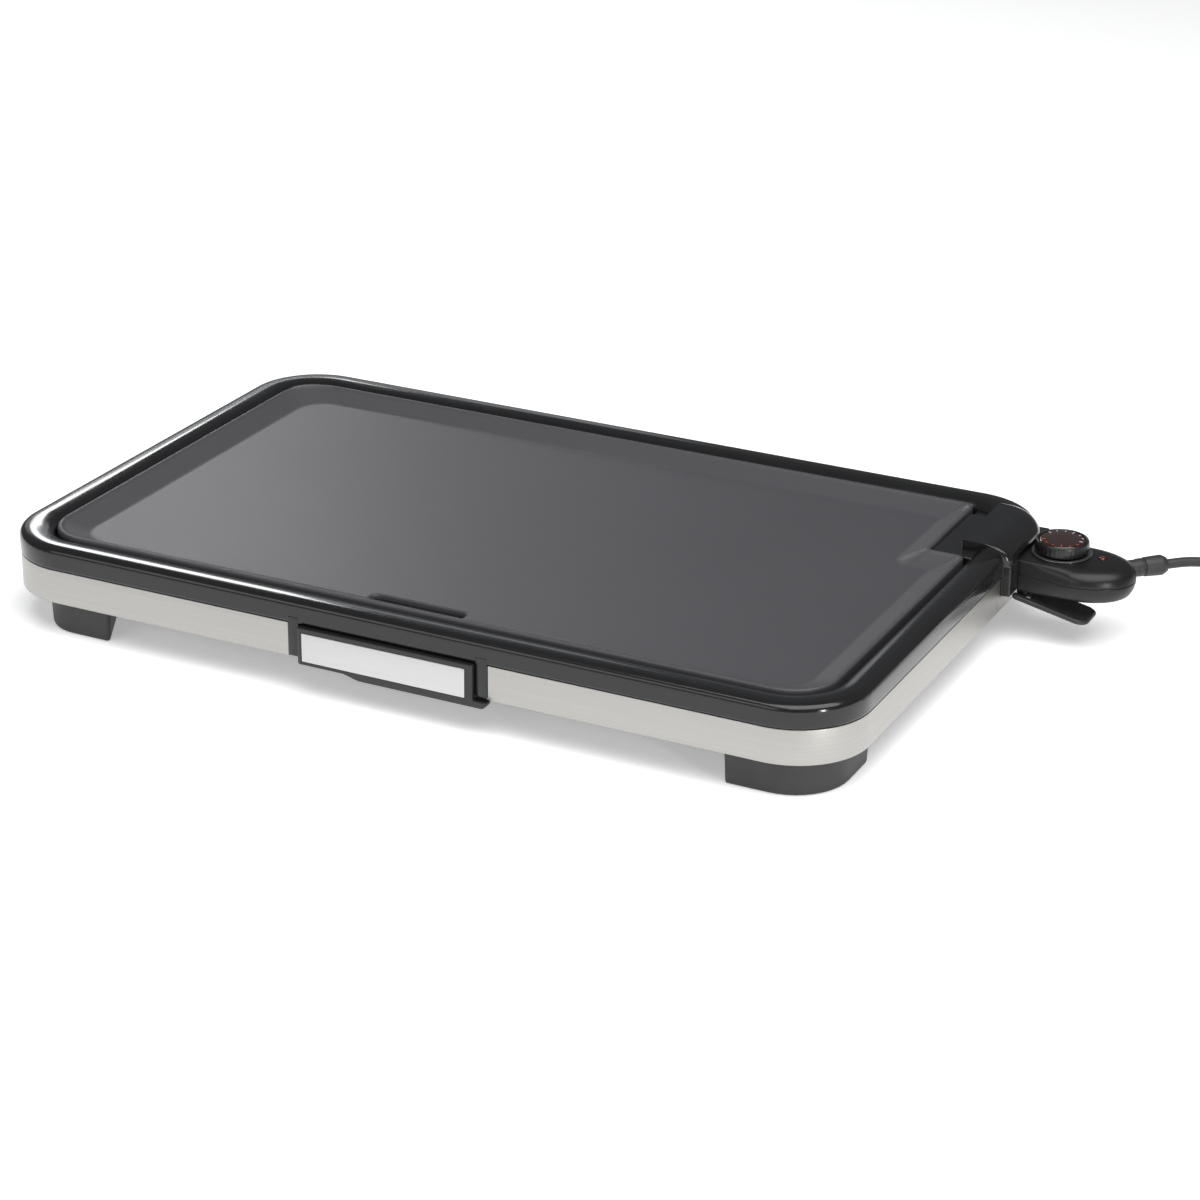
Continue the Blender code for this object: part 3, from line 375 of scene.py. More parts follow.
def block(mesh, x, y, z, edge=0.0, segments=3):
    """A box between the given limits, its edges rounded where a radius is given."""
    made = bmesh.ops.create_cube(mesh, size=1.0)["verts"]
    bmesh.ops.scale(mesh, vec=(x[1] - x[0], y[1] - y[0], z[1] - z[0]), verts=made)
    bmesh.ops.translate(mesh, vec=((x[0] + x[1]) / 2, (y[0] + y[1]) / 2, (z[0] + z[1]) / 2), verts=made)
    if edge:
        edges = list({side for vert in made for side in vert.link_edges})
        bmesh.ops.bevel(
            mesh, geom=edges, offset=edge, segments=segments, profile=0.5, affect="EDGES", material=-1
        )


def rod(mesh, start, end, radius, sides=32):
    """A plain round bar from one point to another."""
    along = Vector(end) - Vector(start)
    turn = along.to_track_quat("Z", "Y").to_matrix().to_4x4()
    place = Matrix.Translation((Vector(start) + Vector(end)) / 2) @ turn
    bmesh.ops.create_cone(
        mesh, cap_ends=True, segments=sides, radius1=radius, radius2=radius, depth=along.length, matrix=place
    )


def turned(mesh, profile, at=(0, 0, 0), steps=64):
    """A profile of (radius, height) turned about the upright axis through the given point."""
    verts = [mesh.verts.new((radius, 0, height)) for radius, height in profile]
    edges = [mesh.edges.new(pair) for pair in zip(verts, verts[1:])]
    before = set(mesh.verts) - set(verts)
    bmesh.ops.spin(
        mesh, geom=verts + edges, cent=(0, 0, 0), axis=(0, 0, 1), angle=math.tau, steps=steps, use_merge=True
    )
    fresh = [vert for vert in mesh.verts if vert not in before]
    bmesh.ops.remove_doubles(mesh, verts=fresh, dist=1e-7)
    fresh = [vert for vert in mesh.verts if vert not in before]
    bmesh.ops.translate(mesh, vec=at, verts=fresh)


def carved(mesh, cutters, how="DIFFERENCE", crossing=False):
    """The mesh with the cutters' shape taken out of it, or with only their shared part kept.

    A mesh whose own shells cross each other says so.
    """
    holders = []
    for name, shape in (("blank", mesh), ("cutters", cutters)):
        bmesh.ops.recalc_face_normals(shape, faces=shape.faces)
        data = bpy.data.meshes.new(name)
        shape.to_mesh(data)
        shape.free()
        holders.append(bpy.data.objects.new(name, data))
        scene.collection.objects.link(holders[-1])
    change = holders[0].modifiers.new("cut", "BOOLEAN")
    change.operation = how
    change.solver = "EXACT"
    change.use_self = crossing
    change.object = holders[1]
    bpy.context.view_layer.update()
    result = bmesh.new()
    result.from_mesh(holders[0].evaluated_get(bpy.context.evaluated_depsgraph_get()).to_mesh())
    for holder in holders:
        bpy.data.objects.remove(holder)
    return result


def piece(name, mesh, surface, body, replaces=(), slot=None, sharp=38.0):
    """Moves the mesh into place, smooths it between its sharp edges and hangs it on its body."""
    bmesh.ops.remove_doubles(mesh, verts=mesh.verts, dist=1e-6)
    bmesh.ops.recalc_face_normals(mesh, faces=mesh.faces)
    bmesh.ops.translate(mesh, vec=MIDDLE, verts=mesh.verts)
    for face in mesh.faces:
        face.smooth = True
    for edge in mesh.edges:
        wide_flat = any(len(face.verts) > 12 for face in edge.link_faces)
        shared = len(edge.link_faces) == 2
        edge.smooth = shared and not wide_flat and edge.calc_face_angle() < math.radians(sharp)
    data = bpy.data.meshes.new(name)
    mesh.to_mesh(data)
    mesh.free()
    data.materials.append(surface)
    made = bpy.data.objects.new(name, data)
    scene.collection.objects.link(made)
    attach(made, body)
    if replaces:
        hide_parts(*replaces)


gloss_black = finish(
    "gloss_black", lambda: grain(30.0).tint((0.0085, 0.0085, 0.0090), (0.0125, 0.0125, 0.0130)),
    lambda: 0.14 + 0.06 * grain(22.0, 4.0).over(0.35, 0.7), bump=lambda: grain(260.0, 2.0), depth=0.000008,
    Specular_IOR_Level=0.35, Coat_Weight=0.25, Coat_Roughness=0.06,
)
RIM_SECTION = (
    (0.0, 0.0218), (0.0, 0.0322), (0.0009, 0.0345), (0.0028, 0.0357), (0.0055, 0.0362), (0.0105, 0.0362),
    (0.0160, 0.0350), (0.0192, 0.0326), (0.0206, 0.0306), (0.0206, 0.0250), (0.0300, 0.0250), (0.0300, 0.0223),
    (0.0178, 0.0223), (0.0178, 0.0296), (0.0140, 0.0322), (0.0098, 0.0332), (0.0058, 0.0331), (0.0030, 0.0308),
    (0.0030, 0.0218),
)
frame_mesh = bmesh.new()
body_ring(frame_mesh, RIM_SECTION, 0.0016)
SHELF_X = (0.2359, 0.2620)
block(frame_mesh, SHELF_X, (0.0729, 0.1410), (0.0240, 0.0336), 0.0006)
block(frame_mesh, SHELF_X, (0.1405, 0.1600), (0.0240, 0.0305), 0.0006)
for x in ((-0.0680, -0.0604), (0.0564, 0.0640)):
    block(frame_mesh, x, (-0.1764, -0.1722), (0.0008, 0.0260), 0.0008)
block(frame_mesh, (0.2690, 0.2855), (0.0791, 0.1500), (0.0101, 0.0300), 0.0010)
HOOD_LEVELS = (
    (0.0, 0.0, 0.0225), (0.0, 0.0, 0.0310), (0.0012, 0.0008, 0.0348), (0.0042, 0.0025, 0.0382),
    (0.0090, 0.0050, 0.0406), (0.0150, 0.0080, 0.0418), (0.0165, 0.0088, 0.0420),
)
hood_loops = []
for drop_x, drop_y, z in rounded(HOOD_LEVELS, 0.0030, 4):
    x, y = (0.2530, 0.2858 - drop_x), (0.0790, 0.1550 - drop_y)
    plan = ((x[0], y[0]), (x[1], y[0]), (x[1], y[1]), (x[0], y[1]))
    radii = (0.0015, 0.0060 - 0.2 * drop_x, 0.0285 - 1.05 * drop_x, 0.0030)
    hood_loops.append(level(frame_mesh, plan, radii, z))
skin(frame_mesh, hood_loops)
bays = bmesh.new()
block(bays, (0.2560, 0.2900), (0.0915, 0.1385), (0.0090, 0.0330))
block(bays, (0.2300, 0.2565), (0.0935, 0.1365), (0.0150, 0.0305))
frame_mesh = carved(frame_mesh, bays, crossing=True)
piece("frame", frame_mesh, gloss_black, "base", ["bezel"], "frame_black", sharp=32.0)

# ---- Steel bands -------------------------------------------------------------------------
# A brushed stainless strip wraps the body in two lengths. They meet in a fine seam by the
# control and stop at the drawer's posts.

brushed_steel = finish(
    "brushed_steel",
    lambda: grain(1.0, 4.0, 0.6, (9.0, 9.0, 2600.0)).tint((0.35, 0.34, 0.325), (0.47, 0.46, 0.44)),
    lambda: 0.30 + 0.14 * grain(1.0, 3.0, 0.6, (14.0, 14.0, 1800.0)), 1.0,
    bump=lambda: grain(1.0, 3.0, 0.6, (6.0, 6.0, 3200.0)), depth=0.000012,
)
BAND_SECTION = ((0.0004, 0.0), (0.0004, 0.0215), (0.0014, 0.0215), (0.0014, 0.0))


PAST_BODY = (-0.2000, 0.3000)
PAST_BAND = (-0.0100, 0.0400)
right_mesh, left_mesh = bmesh.new(), bmesh.new()
for band_mesh in (right_mesh, left_mesh):
    body_ring(band_mesh, BAND_SECTION, 0.0003)
keep = bmesh.new()
block(keep, (0.0643, PAST_BODY[1]), (PAST_BODY[0], 0.0735), PAST_BAND)
right_mesh = carved(right_mesh, keep, "INTERSECT")
piece("band_right", right_mesh, brushed_steel, "base", ["steel_band_right"], "brushed_band")
away = bmesh.new()
block(away, (-0.0683, PAST_BODY[1]), (PAST_BODY[0], 0.0739), PAST_BAND)
block(away, (0.2700, 0.2900), (0.0785, 0.1510), (0.0095, 0.0300))
left_mesh = carved(left_mesh, away)
piece("band_left", left_mesh, brushed_steel, "base", ["steel_band_left"], "brushed_band")

# ---- Cooking plate -----------------------------------------------------------------------
# Cast aluminium under a dark non-stick coat: a flat floor, a sloping wall, a rolled lip
# notched at the right back for the socket, and a slot that drains into the drawer.

PLATE_DARK, PLATE_LIGHT = (0.052, 0.051, 0.057), (0.074, 0.073, 0.080)
nonstick = finish(
    "nonstick", lambda: (0.7 * grain(900.0, 2.0) + 0.3 * grain(14.0, 4.0)).tint(PLATE_DARK, PLATE_LIGHT),
    lambda: 0.38 + 0.03 * grain(9.0, 4.0) + 0.06 * grain(700.0, 2.0),
    bump=lambda: grain(1500.0, 2.0) + 0.6 * grain(420.0, 2.0), depth=0.00003, Specular_IOR_Level=0.38,
)
PLATE_X, PLATE_Y = 0.2585, 0.1545
NOTCH_X, NOTCH_Y = 0.2350, 0.0720
PLATE_CORNERS = (
    (-PLATE_X, -PLATE_Y), (PLATE_X, -PLATE_Y), (PLATE_X, NOTCH_Y), (NOTCH_X, NOTCH_Y), (NOTCH_X, PLATE_Y),
    (-PLATE_X, PLATE_Y),
)
PLATE_RADII = (0.0285, 0.0285, 0.0050, 0.0030, 0.0080, 0.0285)
PLATE_SECTION = (
    (0.0200, 0.0242), (0.0195, 0.0242), (0.0080, 0.0290), (0.0034, 0.0308), (0.0030, 0.0300), (0.0030, 0.0253),
    (0.0, 0.0253), (0.0, 0.0342), (0.0005, 0.0351), (0.0014, 0.0354), (0.0024, 0.0352), (0.0036, 0.0342),
    (0.0150, 0.0291), (0.0166, 0.0284), (0.0182, 0.0281), (0.0186, 0.0281),
)
plate_mesh = bmesh.new()
skin(plate_mesh, [
    level(plate_mesh, PLATE_CORNERS, PLATE_RADII, z, inset, 0.55, 12)
    for inset, z in rounded(PLATE_SECTION, 0.0014, 3)
])
drain = bmesh.new()
SLOT = ((-0.037, -0.138), (0.026, -0.138), (0.026, -0.128), (-0.037, -0.128))
SLOT_FLARE = ((0.0200, 0.0), (0.0267, 0.0), (0.0275, -0.0003), (0.0283, -0.0014))
skin(drain, [level(drain, SLOT, [0.0048] * 4, z, inset, 1.0, 8) for z, inset in SLOT_FLARE])
piece("plate", carved(plate_mesh, drain), nonstick, "plate", ["griddle_plate"], "plate_coating", sharp=32.0)

# ---- Drip drawer -------------------------------------------------------------------------
# A grey moulded tray behind a black front. A bright plate is let into the front, and the
# front's lower edge drops on the right to a lip for the fingers.

FRONT_Y = -0.1796
tray_black = finish(
    "tray_black", lambda: grain(60.0).tint((0.008, 0.008, 0.0085), (0.013, 0.013, 0.0135)),
    lambda: 0.26 + 0.10 * grain(80.0, 3.0), bump=lambda: grain(1800.0, 2.0), depth=0.00002,
)
front_mesh = bmesh.new()
LIP = [(-0.0310 + 0.0130 * k / 10, -0.0022 - 0.0026 * eased(k / 10)) for k in range(11)]
FRONT_PLAN = [
    (-0.0600, 0.0214), (-0.0600, -0.0022), *LIP, (0.0645, -0.0048), (0.0645, -0.0006), (0.0560, -0.0006),
    (0.0560, 0.0214),
]
FRONT_ROUNDS = [0.0008, 0.0014] + [0.0] * 11 + [0.0034, 0.0008, 0.0003, 0.0008]
FRONT_STEPS = ((0.0006, 0.0003), (0.0002, 0.0005), (0.0, 0.0009), (0.0, 0.0066), (0.0003, 0.0071))
skin(front_mesh, [
    level(front_mesh, FRONT_PLAN, FRONT_ROUNDS, back, inset, 1.0, 6) for inset, back in FRONT_STEPS
])
stand_up = Matrix(((1, 0, 0, 0), (0, 0, 1, FRONT_Y), (0, 1, 0, 0), (0, 0, 0, 1)))
bmesh.ops.transform(front_mesh, matrix=stand_up, verts=front_mesh.verts)
seat = bmesh.new()
block(seat, (-0.0573, 0.0513), (FRONT_Y - 0.002, FRONT_Y + 0.0016), (-0.0001, 0.0186))
piece("drawer_front", carved(front_mesh, seat), tray_black, "drawer", ["tray_front"], "frame_black")

bright_plate = finish(
    "bright_plate",
    lambda: grain(1.0, 3.0, 0.6, (10.0, 10.0, 2600.0)).tint((0.50, 0.50, 0.50), (0.60, 0.60, 0.60)),
    lambda: 0.32 + 0.10 * grain(1.0, 3.0, 0.6, (14.0, 14.0, 1800.0)), 0.9,
)
panel_mesh = bmesh.new()
block(panel_mesh, (-0.0570, 0.0510), (FRONT_Y, FRONT_Y + 0.0013), (0.0002, 0.0183), 0.0004, 3)
piece("drawer_panel", panel_mesh, bright_plate, "drawer", ["tray_panel"], "panel_silver")

tray_grey = finish(
    "tray_grey", lambda: grain(50.0).tint((0.10, 0.10, 0.105), (0.13, 0.13, 0.135)),
    lambda: 0.42 + 0.10 * grain(90.0, 3.0), bump=lambda: grain(1200.0, 2.0), depth=0.00003,
)
tray_mesh = bmesh.new()
TRAY_PLAN = ((-0.0540, -0.1719), (0.0500, -0.1719), (0.0500, -0.0750), (-0.0540, -0.0750))
TRAY_SECTION = (
    (0.0012, 0.0029), (0.0003, 0.0033), (0.0, 0.0045), (0.0, 0.0135), (0.0015, 0.0135), (0.0030, 0.0059),
    (0.0050, 0.0045),
)
skin(tray_mesh, [
    level(tray_mesh, TRAY_PLAN, [0.006] * 4, z, inset, 1.0, 8)
    for inset, z in rounded(TRAY_SECTION, 0.0012, 3)
])
piece("drawer_tray", tray_mesh, tray_grey, "drawer", ["drip_tray"], "tray_grey")

# ---- Feet --------------------------------------------------------------------------------
# Four solid charcoal feet with a slanted inner side, a rubber pad let into the foot of each.
# A screw from inside the pan holds each one.

foot_plastic = finish(
    "foot_plastic", lambda: grain(70.0).tint((0.017, 0.017, 0.018), (0.026, 0.026, 0.027)),
    lambda: 0.46 + 0.12 * grain(60.0, 3.0), bump=lambda: grain(1400.0, 2.0), depth=0.00003,
)
FOOT_SECTION = ((0.0, 0.0), (0.0006, -0.0100), (0.0010, -0.0202), (0.0016, -0.0215), (0.0022, -0.0215))
PAD_SECTION = ((0.0, -0.0206), (0.0, -0.0216), (0.0004, -0.0220), (0.0010, -0.0220))
rubber = finish(
    "rubber", lambda: grain(90.0).tint((0.030, 0.030, 0.030), (0.050, 0.050, 0.050)),
    lambda: 0.75 + 0.15 * grain(200.0), bump=lambda: grain(900.0, 2.0), depth=0.00004,
)
FOOT_NEAR, FOOT_FAR = 0.1050, 0.1700
FOOT_PLANS = {
    "front_left": (0.2000, 0.2550, 0.028), "front_right": (0.2085, 0.2715, 0.036),
    "back_left": (0.2045, 0.2600, 0.026), "back_right": (0.2045, 0.2600, 0.026),
}
FOOT_SPOTS = {"front_left": (-1, -1), "front_right": (1, -1), "back_left": (-1, 1), "back_right": (1, 1)}
for spot, (side_x, side_y) in FOOT_SPOTS.items():
    inner_x, outer_x, corner = FOOT_PLANS[spot]
    foot_plan = (
        (inner_x + 0.032, FOOT_NEAR), (outer_x, FOOT_NEAR), (outer_x, FOOT_FAR), (inner_x, FOOT_FAR),
        (inner_x, FOOT_FAR - 0.0040),
    )
    foot_rounds = (0.004, 0.005, corner, 0.0025, 0.0015)
    pad_near, pad_far = FOOT_NEAR + 0.0090, FOOT_FAR - 0.0100
    pad_plan = (
        (inner_x + 0.037, pad_near), (outer_x - 0.008, pad_near), (outer_x - 0.008, pad_far),
        (inner_x + 0.018, pad_far),
    )
    for kind, plan, rounds, section, surface, slot in (
        ("foot", foot_plan, foot_rounds, FOOT_SECTION, foot_plastic, "foot_charcoal"),
        ("pad", pad_plan, (0.004, 0.004, 0.012, 0.004), PAD_SECTION, rubber, "pad_rubber"),
    ):
        foot_mesh = bmesh.new()
        skin(foot_mesh, [
            level(foot_mesh, plan, rounds, z, inset, 1.0, 10) for inset, z in rounded(section, 0.0008, 3)
        ])
        bmesh.ops.scale(foot_mesh, vec=(side_x, side_y, 1), verts=foot_mesh.verts)
        piece(f"{kind}_{spot}_skin", foot_mesh, surface, "base", [f"{kind}_{spot}"], slot)

# ---- Heat control ------------------------------------------------------------------------
# A plug-in thermostat: two satin black shells meet in a fine seam round a long egg-shaped
# body whose nose enters the hood, with a round boss on top for the dial.

control_plastic = finish(
    "control_plastic", lambda: grain(55.0).tint((0.0075, 0.0075, 0.0080), (0.0120, 0.0120, 0.0125)),
    lambda: 0.30 + 0.10 * grain(45.0, 3.0), bump=lambda: grain(1500.0, 2.0), depth=0.000010,
    Specular_IOR_Level=0.35,
)
HOUSING = Vector((0.318, 0.114, 0.0))
HOUSING_A, HOUSING_B = 0.0345, 0.0260
NOSE_HALF = 0.0222
SEAM_Z = 0.0204


def housing_level(mesh, inset, z, nose_x):
    """A loop at one height: half an ellipse at the free end, and a squared nose at the other."""
    made = bmesh.ops.create_circle(mesh, segments=96, radius=1.0)["verts"]
    squareness = 0.42
    for vert in made:
        across, along = vert.co.y, vert.co.x
        if along < 0:
            along = -abs(along) ** squareness * (HOUSING.x - nose_x)
            across = math.copysign(abs(across) ** squareness, across)
        else:
            along *= HOUSING_A - inset
        x = HOUSING.x + along
        to_nose = eased((0.322 - x) / 0.034)
        half = (HOUSING_B - inset) * (1 - to_nose) + min(NOSE_HALF, HOUSING_B - 0.6 * inset) * to_nose
        vert.co = (x, HOUSING.y + 0.001 * to_nose + across * half, z)
    return list({edge for vert in made for edge in vert.link_edges})


def hollowed(mesh, holes):
    """The shell with its inside, three ways into its nose, the relief's mouth and the holes cut."""
    inside = bmesh.new()
    block(inside, (0.2605, 0.3290), (0.0970, 0.1330), (0.0130, 0.0262))
    mesh = carved(mesh, inside)
    ways = bmesh.new()
    for y, radius in ((0.103, 0.0042), (0.115, 0.0029), (0.127, 0.0042)):
        rod(ways, (0.2550, y, SEAM_Z), (0.2640, y, SEAM_Z), radius)
    rod(ways, RELIEF_FROM - 0.002 * RELIEF_ALONG, RELIEF_FROM + 0.020 * RELIEF_ALONG, 0.0056)
    for x, y, z, radius in holes:
        rod(ways, (x, y, z[0]), (x, y, z[1]), radius)
    return carved(mesh, ways)


SCREWS = ((0.3330, 0.1060), (0.3270, 0.1260))
DIAL_AXIS = (0.3050, 0.1150, 0.0)
LAMP_AXIS = (0.3300, 0.1180, 0.0)
LOWER_LEVELS = (
    (0.0130, 0.0080, 0.2930), (0.0068, 0.0087, 0.2880), (0.0030, 0.0110, 0.2610), (0.0008, 0.0152, 0.2588),
    (0.0000, 0.0190, 0.2585), (0.0000, 0.0201, 0.2585), (0.0004, 0.0203, 0.2589),
)
lower_mesh = bmesh.new()
skin(lower_mesh, [housing_level(lower_mesh, *at) for at in rounded(LOWER_LEVELS, 0.0060, 4)])
lower_mesh = hollowed(lower_mesh, [(x, y, (0.0060, 0.0115), 0.0030) for x, y in SCREWS])
for y in ((0.0962, 0.0997), (0.1103, 0.1138)):
    block(lower_mesh, (0.2840, 0.2900), y, (0.0017, 0.0135), 0.0007)
LOWER, UPPER = ["control_lower_shell"], ["control_upper_shell"]
piece("control_lower", lower_mesh, control_plastic, "control", LOWER, "control_black", sharp=40.0)

UPPER_LEVELS = (
    (0.0004, 0.0205, 0.2589), (0.0000, 0.0207, 0.2585), (0.0000, 0.0220, 0.2585), (0.0012, 0.0256, 0.2588),
    (0.0040, 0.0283, 0.2600), (0.0085, 0.0297, 0.2625), (0.0130, 0.0300, 0.2660), (0.0180, 0.0301, 0.2720),
)
upper_mesh = bmesh.new()
skin(upper_mesh, [housing_level(upper_mesh, *at) for at in rounded(UPPER_LEVELS, 0.0060, 4)])
upper_mesh = hollowed(upper_mesh, [(*LAMP_AXIS[:2], (0.0250, 0.0330), 0.0028)])
BOSS = (
    (0.0030, 0.0290), (0.0030, 0.0304), (0.0178, 0.0304), (0.0186, 0.0301), (0.0188, 0.0294), (0.0200, 0.0286),
    (0.0200, 0.0270),
)
turned(upper_mesh, BOSS, DIAL_AXIS)
piece("control_upper", upper_mesh, control_plastic, "control", UPPER, "control_black", sharp=40.0)

satin_rim = finish("satin_rim", (0.10, 0.10, 0.105), lambda: 0.22 + 0.08 * grain(70.0), 0.6)
collar_mesh = bmesh.new()
COLLAR = (
    (0.0160, 0.0307), (0.0183, 0.0307), (0.0185, 0.0309), (0.0185, 0.0311), (0.0182, 0.0315), (0.0160, 0.0313),
)
turned(collar_mesh, [*COLLAR, COLLAR[0]], DIAL_AXIS, 96)
piece("collar", collar_mesh, satin_rim, "control", ["dial_collar"], "control_black")

lamp_glass = finish("lamp_glass", (0.10, 0.006, 0.004), lambda: 0.12 + 0.06 * grain(90.0), Coat_Weight=0.6)
lamp_mesh = bmesh.new()
LAMP = ((0.0, 0.0262), (0.0022, 0.0262), (0.0022, 0.0301), (0.0020, 0.0306), (0.0012, 0.0310), (0.0, 0.0311))
turned(lamp_mesh, rounded(LAMP, 0.0004, 3), LAMP_AXIS, 32)
piece("lamp", lamp_mesh, lamp_glass, "control", ["pilot_lamp"], "lamp_red")

relief_mesh = bmesh.new()
RELIEF = (
    (0.0, 0.0), (0.0052, 0.0), (0.0052, 0.0112), (0.0056, 0.0116), (0.0057, 0.0150), (0.0050, 0.0153),
    (0.0050, 0.0162), (0.0060, 0.0165), (0.0064, 0.0275), (0.0062, 0.0285), (0.0051, 0.0307), (0.0046, 0.0315),
    (0.0, 0.0315),
)
turned(relief_mesh, rounded(RELIEF, 0.0005, 3), (0, 0, 0), 48)
point_out = Matrix.Translation(RELIEF_FROM) @ RELIEF_ALONG.to_track_quat("Z", "Y").to_matrix().to_4x4()
bmesh.ops.transform(relief_mesh, matrix=point_out, verts=relief_mesh.verts)
piece("relief", relief_mesh, sheath, "control", ["strain_relief"], "cord_black")

# ---- Temperature dial --------------------------------------------------------------------
# A round knob with a finely grooved skirt. Its top is a tinted, glossy disc with a scale of
# short printed marks near the edge, and it turns on a shaft through the boss.

knob_plastic = finish(
    "knob_plastic", lambda: grain(60.0).tint((0.0070, 0.0070, 0.0072), (0.0110, 0.0110, 0.0115)),
    lambda: 0.26 + 0.10 * grain(50.0, 3.0), bump=lambda: grain(1300.0, 2.0), depth=0.000015,
)
DIAL_AT = (*DIAL_AXIS[:2], 0.0319)
DIAL_R = 0.01675
KNOB = (
    (0.0027, 0.0), (0.0150, 0.0), (0.0164, 0.0004), (DIAL_R, 0.0030), (0.0164, 0.0066), (0.0158, 0.0076),
    (0.0150, 0.0078), (0.0143, 0.0072), (0.0143, 0.0060), (0.0, 0.0060),
)
knob_mesh = bmesh.new()
turned(knob_mesh, [*rounded(KNOB, 0.0010, 3), (0.0, 0.0052), (0.0027, 0.0052), (0.0027, 0.0)], (0, 0, 0), 180)
FLUTES, FLUTE_DEPTH = 36, 0.00018
for vert in knob_mesh.verts:
    flute = 0.5 + 0.5 * math.cos(FLUTES * math.atan2(vert.co.y, vert.co.x))
    above_foot = min(max((vert.co.z - 0.0006) / 0.0012, 0.0), 1.0)
    below_rim = min(max((0.0064 - vert.co.z) / 0.0012, 0.0), 1.0)
    if vert.co.xy.length > 0.0155:
        vert.co.xy *= 1 - FLUTE_DEPTH * flute * (above_foot * below_rim) / DIAL_R
bmesh.ops.translate(knob_mesh, vec=DIAL_AT, verts=knob_mesh.verts)
piece("knob", knob_mesh, knob_plastic, "dial", ["dial_knob"], "dial_black", sharp=50.0)

tinted_disc = finish(
    "tinted_disc", lambda: grain(40.0).tint((0.020, 0.0045, 0.0035), (0.034, 0.0075, 0.0055)),
    lambda: 0.08 + 0.05 * grain(60.0), Coat_Weight=1.0, Coat_Roughness=0.04,
)
disc_mesh = bmesh.new()
DISC = ((0.0, 0.0063), (0.0140, 0.0063), (0.0140, 0.0071), (0.0130, 0.0076), (0.0070, 0.0079), (0.0, 0.0080))
turned(disc_mesh, rounded(DISC, 0.0005, 3), DIAL_AT, 96)
piece("dial_disc", disc_mesh, tinted_disc, "dial", ["dial_cap"], "dial_gloss")

MARK_COUNT, MARK_SWEEP = 13, 300
for name, colour, first, last in (
    ("marks_warm", (0.75, 0.12, 0.03), 0, 6), ("marks_pale", (0.75, 0.73, 0.70), 6, MARK_COUNT),
):
    ink = finish(name, colour, lambda: 0.35 + 0.1 * grain(300.0))
    marks = bmesh.new()
    for number in range(first, last):
        angle = math.radians(MARK_SWEEP * number / (MARK_COUNT - 1) - MARK_SWEEP / 2)
        long = 0.0022 if number % 3 == 0 else 0.0012
        turn = Matrix.Rotation(angle, 4, "Z") @ Matrix.Translation((0.0128 - long / 2, 0, 0.00768))
        made = bmesh.ops.create_cube(marks, size=1.0)["verts"]
        bmesh.ops.scale(marks, vec=(long, 0.00045, 0.00022), verts=made)
        bmesh.ops.transform(marks, matrix=Matrix.Translation(DIAL_AT) @ turn, verts=made)
    piece(name, marks, ink, "dial")

# ---- Release lever -----------------------------------------------------------------------
# A charcoal moulding under the control: a cheek beside the pin, and a wide paddle that
# slopes down and away so that a squeeze frees the plug from its contacts.

LEVER_AT = Vector((0.2870, 0.1050, 0.0045))
LEVER_SLOPE = 0.215
LEVER_PLAN = (
    (0.0060, -0.0093), (-0.0042, -0.0093), (-0.0042, -0.0145), (0.0435, -0.0145), (0.0435, 0.0080),
    (0.0390, 0.0105), (0.0090, 0.0105), (0.0070, 0.0050), (-0.0030, 0.0050), (-0.0030, -0.0050),
    (0.0060, -0.0050),
)
LEVER_ROUNDS = (0.0003, 0.0003, 0.0020, 0.0075, 0.0030, 0.0015, 0.0012, 0.0010, 0.0006, 0.0006, 0.0003)
LEVER_STEPS = ((0.0009, -0.0008), (0.0, -0.0001), (0.0, 0.0015), (0.0008, 0.0022))
lever_mesh = bmesh.new()
skin(lever_mesh, [
    level(lever_mesh, LEVER_PLAN, LEVER_ROUNDS, z, inset, 0.5, 8)
    for inset, z in rounded(LEVER_STEPS, 0.0007, 3)
])
for vert in lever_mesh.verts:
    vert.co.z -= LEVER_SLOPE * vert.co.x
bmesh.ops.translate(lever_mesh, vec=LEVER_AT, verts=lever_mesh.verts)
bore = bmesh.new()
rod(bore, (LEVER_AT.x, 0.0963, LEVER_AT.z), (LEVER_AT.x, 0.1200, LEVER_AT.z), 0.0018)
piece("lever", carved(lever_mesh, bore), foot_plastic, "lever", ["release_lever"], "lever_grey")

# ---- Pan, heater and small metal ---------------------------------------------------------
# The parts inside and below keep their solid shapes and take their real finishes here. A
# blank rating plate lies on the underside of the pan.

pan_plastic = finish(
    "pan_plastic", lambda: grain(25.0, 4.0).tint((0.014, 0.014, 0.015), (0.024, 0.024, 0.025)),
    lambda: 0.50 + 0.14 * grain(40.0, 3.0), bump=lambda: grain(900.0, 2.0), depth=0.00004,
)
bright_sheet = finish(
    "bright_sheet_metal", lambda: grain(18.0, 4.0).tint((0.55, 0.56, 0.57), (0.72, 0.73, 0.74)),
    lambda: 0.22 + 0.20 * grain(12.0, 4.0), 1.0, bump=lambda: grain(30.0, 3.0), depth=0.00012,
)
heater_steel = finish(
    "heater_steel", lambda: grain(60.0, 4.0).tint((0.10, 0.085, 0.07), (0.24, 0.21, 0.18)),
    lambda: 0.38 + 0.20 * grain(90.0, 3.0), 1.0, bump=lambda: grain(500.0, 2.0), depth=0.00003,
)
ceramic = finish(
    "ceramic", lambda: grain(90.0).tint((0.66, 0.63, 0.56), (0.76, 0.74, 0.68)),
    lambda: 0.50 + 0.20 * grain(120.0), bump=lambda: grain(1100.0, 2.0), depth=0.00004,
)
plated_pin = finish(
    "plated_pin", lambda: grain(120.0).tint((0.62, 0.58, 0.48), (0.74, 0.71, 0.62)),
    lambda: 0.18 + 0.12 * grain(160.0, 3.0), 1.0,
    bump=lambda: grain(1.0, 2.0, 0.5, (900.0, 90.0, 900.0)), depth=0.00001,
)
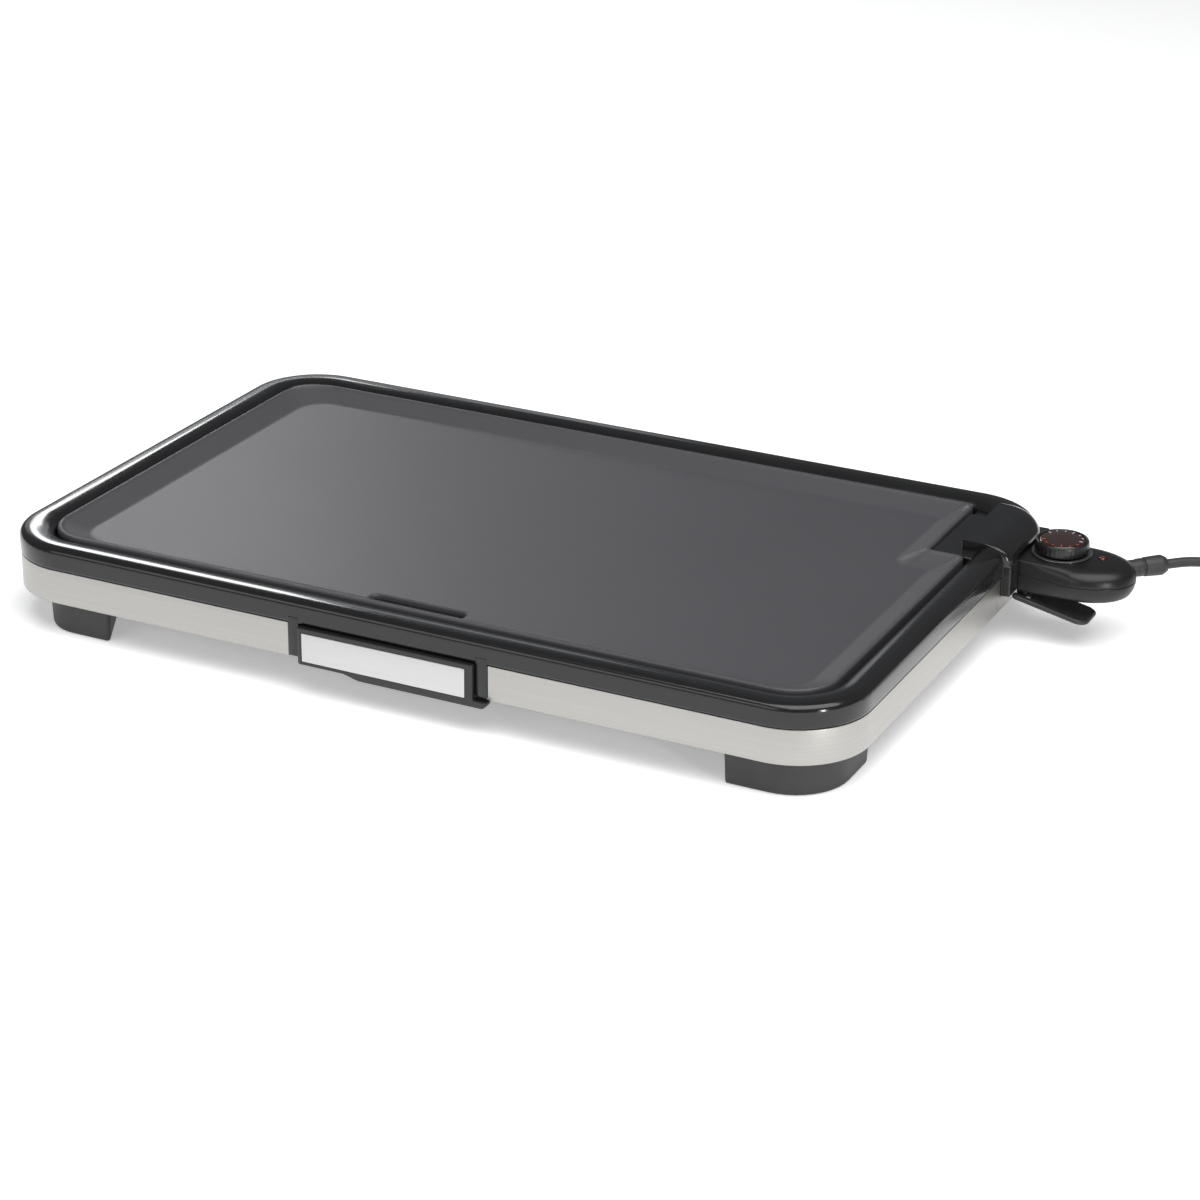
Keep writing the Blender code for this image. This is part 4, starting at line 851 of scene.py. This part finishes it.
screw_steel = finish(
    "screw_steel_finish", lambda: grain(140.0).tint((0.40, 0.40, 0.41), (0.55, 0.55, 0.56)),
    lambda: 0.28 + 0.16 * grain(180.0, 3.0), 1.0, bump=lambda: grain(1500.0, 2.0), depth=0.00001,
)
plug_plastic = finish(
    "plug_plastic", lambda: grain(60.0).tint((0.018, 0.018, 0.019), (0.028, 0.028, 0.029)),
    lambda: 0.40 + 0.12 * grain(120.0, 3.0), bump=lambda: grain(1400.0, 2.0), depth=0.00003,
)
strap_weave = finish(
    "strap", lambda: grain(400.0, 4.0).tint((0.010, 0.010, 0.010), (0.045, 0.045, 0.045)),
    lambda: 0.80 + 0.15 * grain(500.0), bump=lambda: grain(1600.0, 3.0), depth=0.00020,
)
SADDLES = [f"element_saddle_{number}" for number in (1, 2, 3, 4)]
FOOT_SCREWS = [f"screw_{spot}" for spot in FOOT_SPOTS]
KEPT = (
    (pan_plastic, ["base_pan", "tray_rail_left", "tray_rail_right"]),
    (bright_sheet, ["heat_reflector", "drain_chute", "sensor_guide", *SADDLES]),
    (heater_steel, ["heating_element"]),
    (ceramic, ["terminal_block", "thermostat_switch"]),
    (plated_pin, ["terminal_pin_1", "terminal_pin_2", "contact_sleeve_1", "contact_sleeve_2"]),
    (plated_pin, ["sensor_probe", "dial_shaft", "plug_pin_1", "plug_pin_2"]),
    (screw_steel, ["lever_pin", "control_screw_1", "control_screw_2", *FOOT_SCREWS]),
    (plug_plastic, ["plug_body"]),
    (strap_weave, ["coil_tie"]),
)
for surface, names in KEPT:
    for name in names:
        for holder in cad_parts[name].material_slots:
            holder.material = surface

rating_mesh = bmesh.new()
block(rating_mesh, (0.0950, 0.1650), (-0.0250, 0.0150), (-0.0002, 0.0004), 0.00012, 2)
rating = finish(
    "rating_plate", lambda: grain(60.0).tint((0.30, 0.30, 0.31), (0.36, 0.36, 0.37)),
    lambda: 0.40 + 0.10 * grain(100.0), 0.7,
)
piece("rating_plate", rating_mesh, rating, "base")

[[list(corner) for corner in box] for box in (cad_box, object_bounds())]
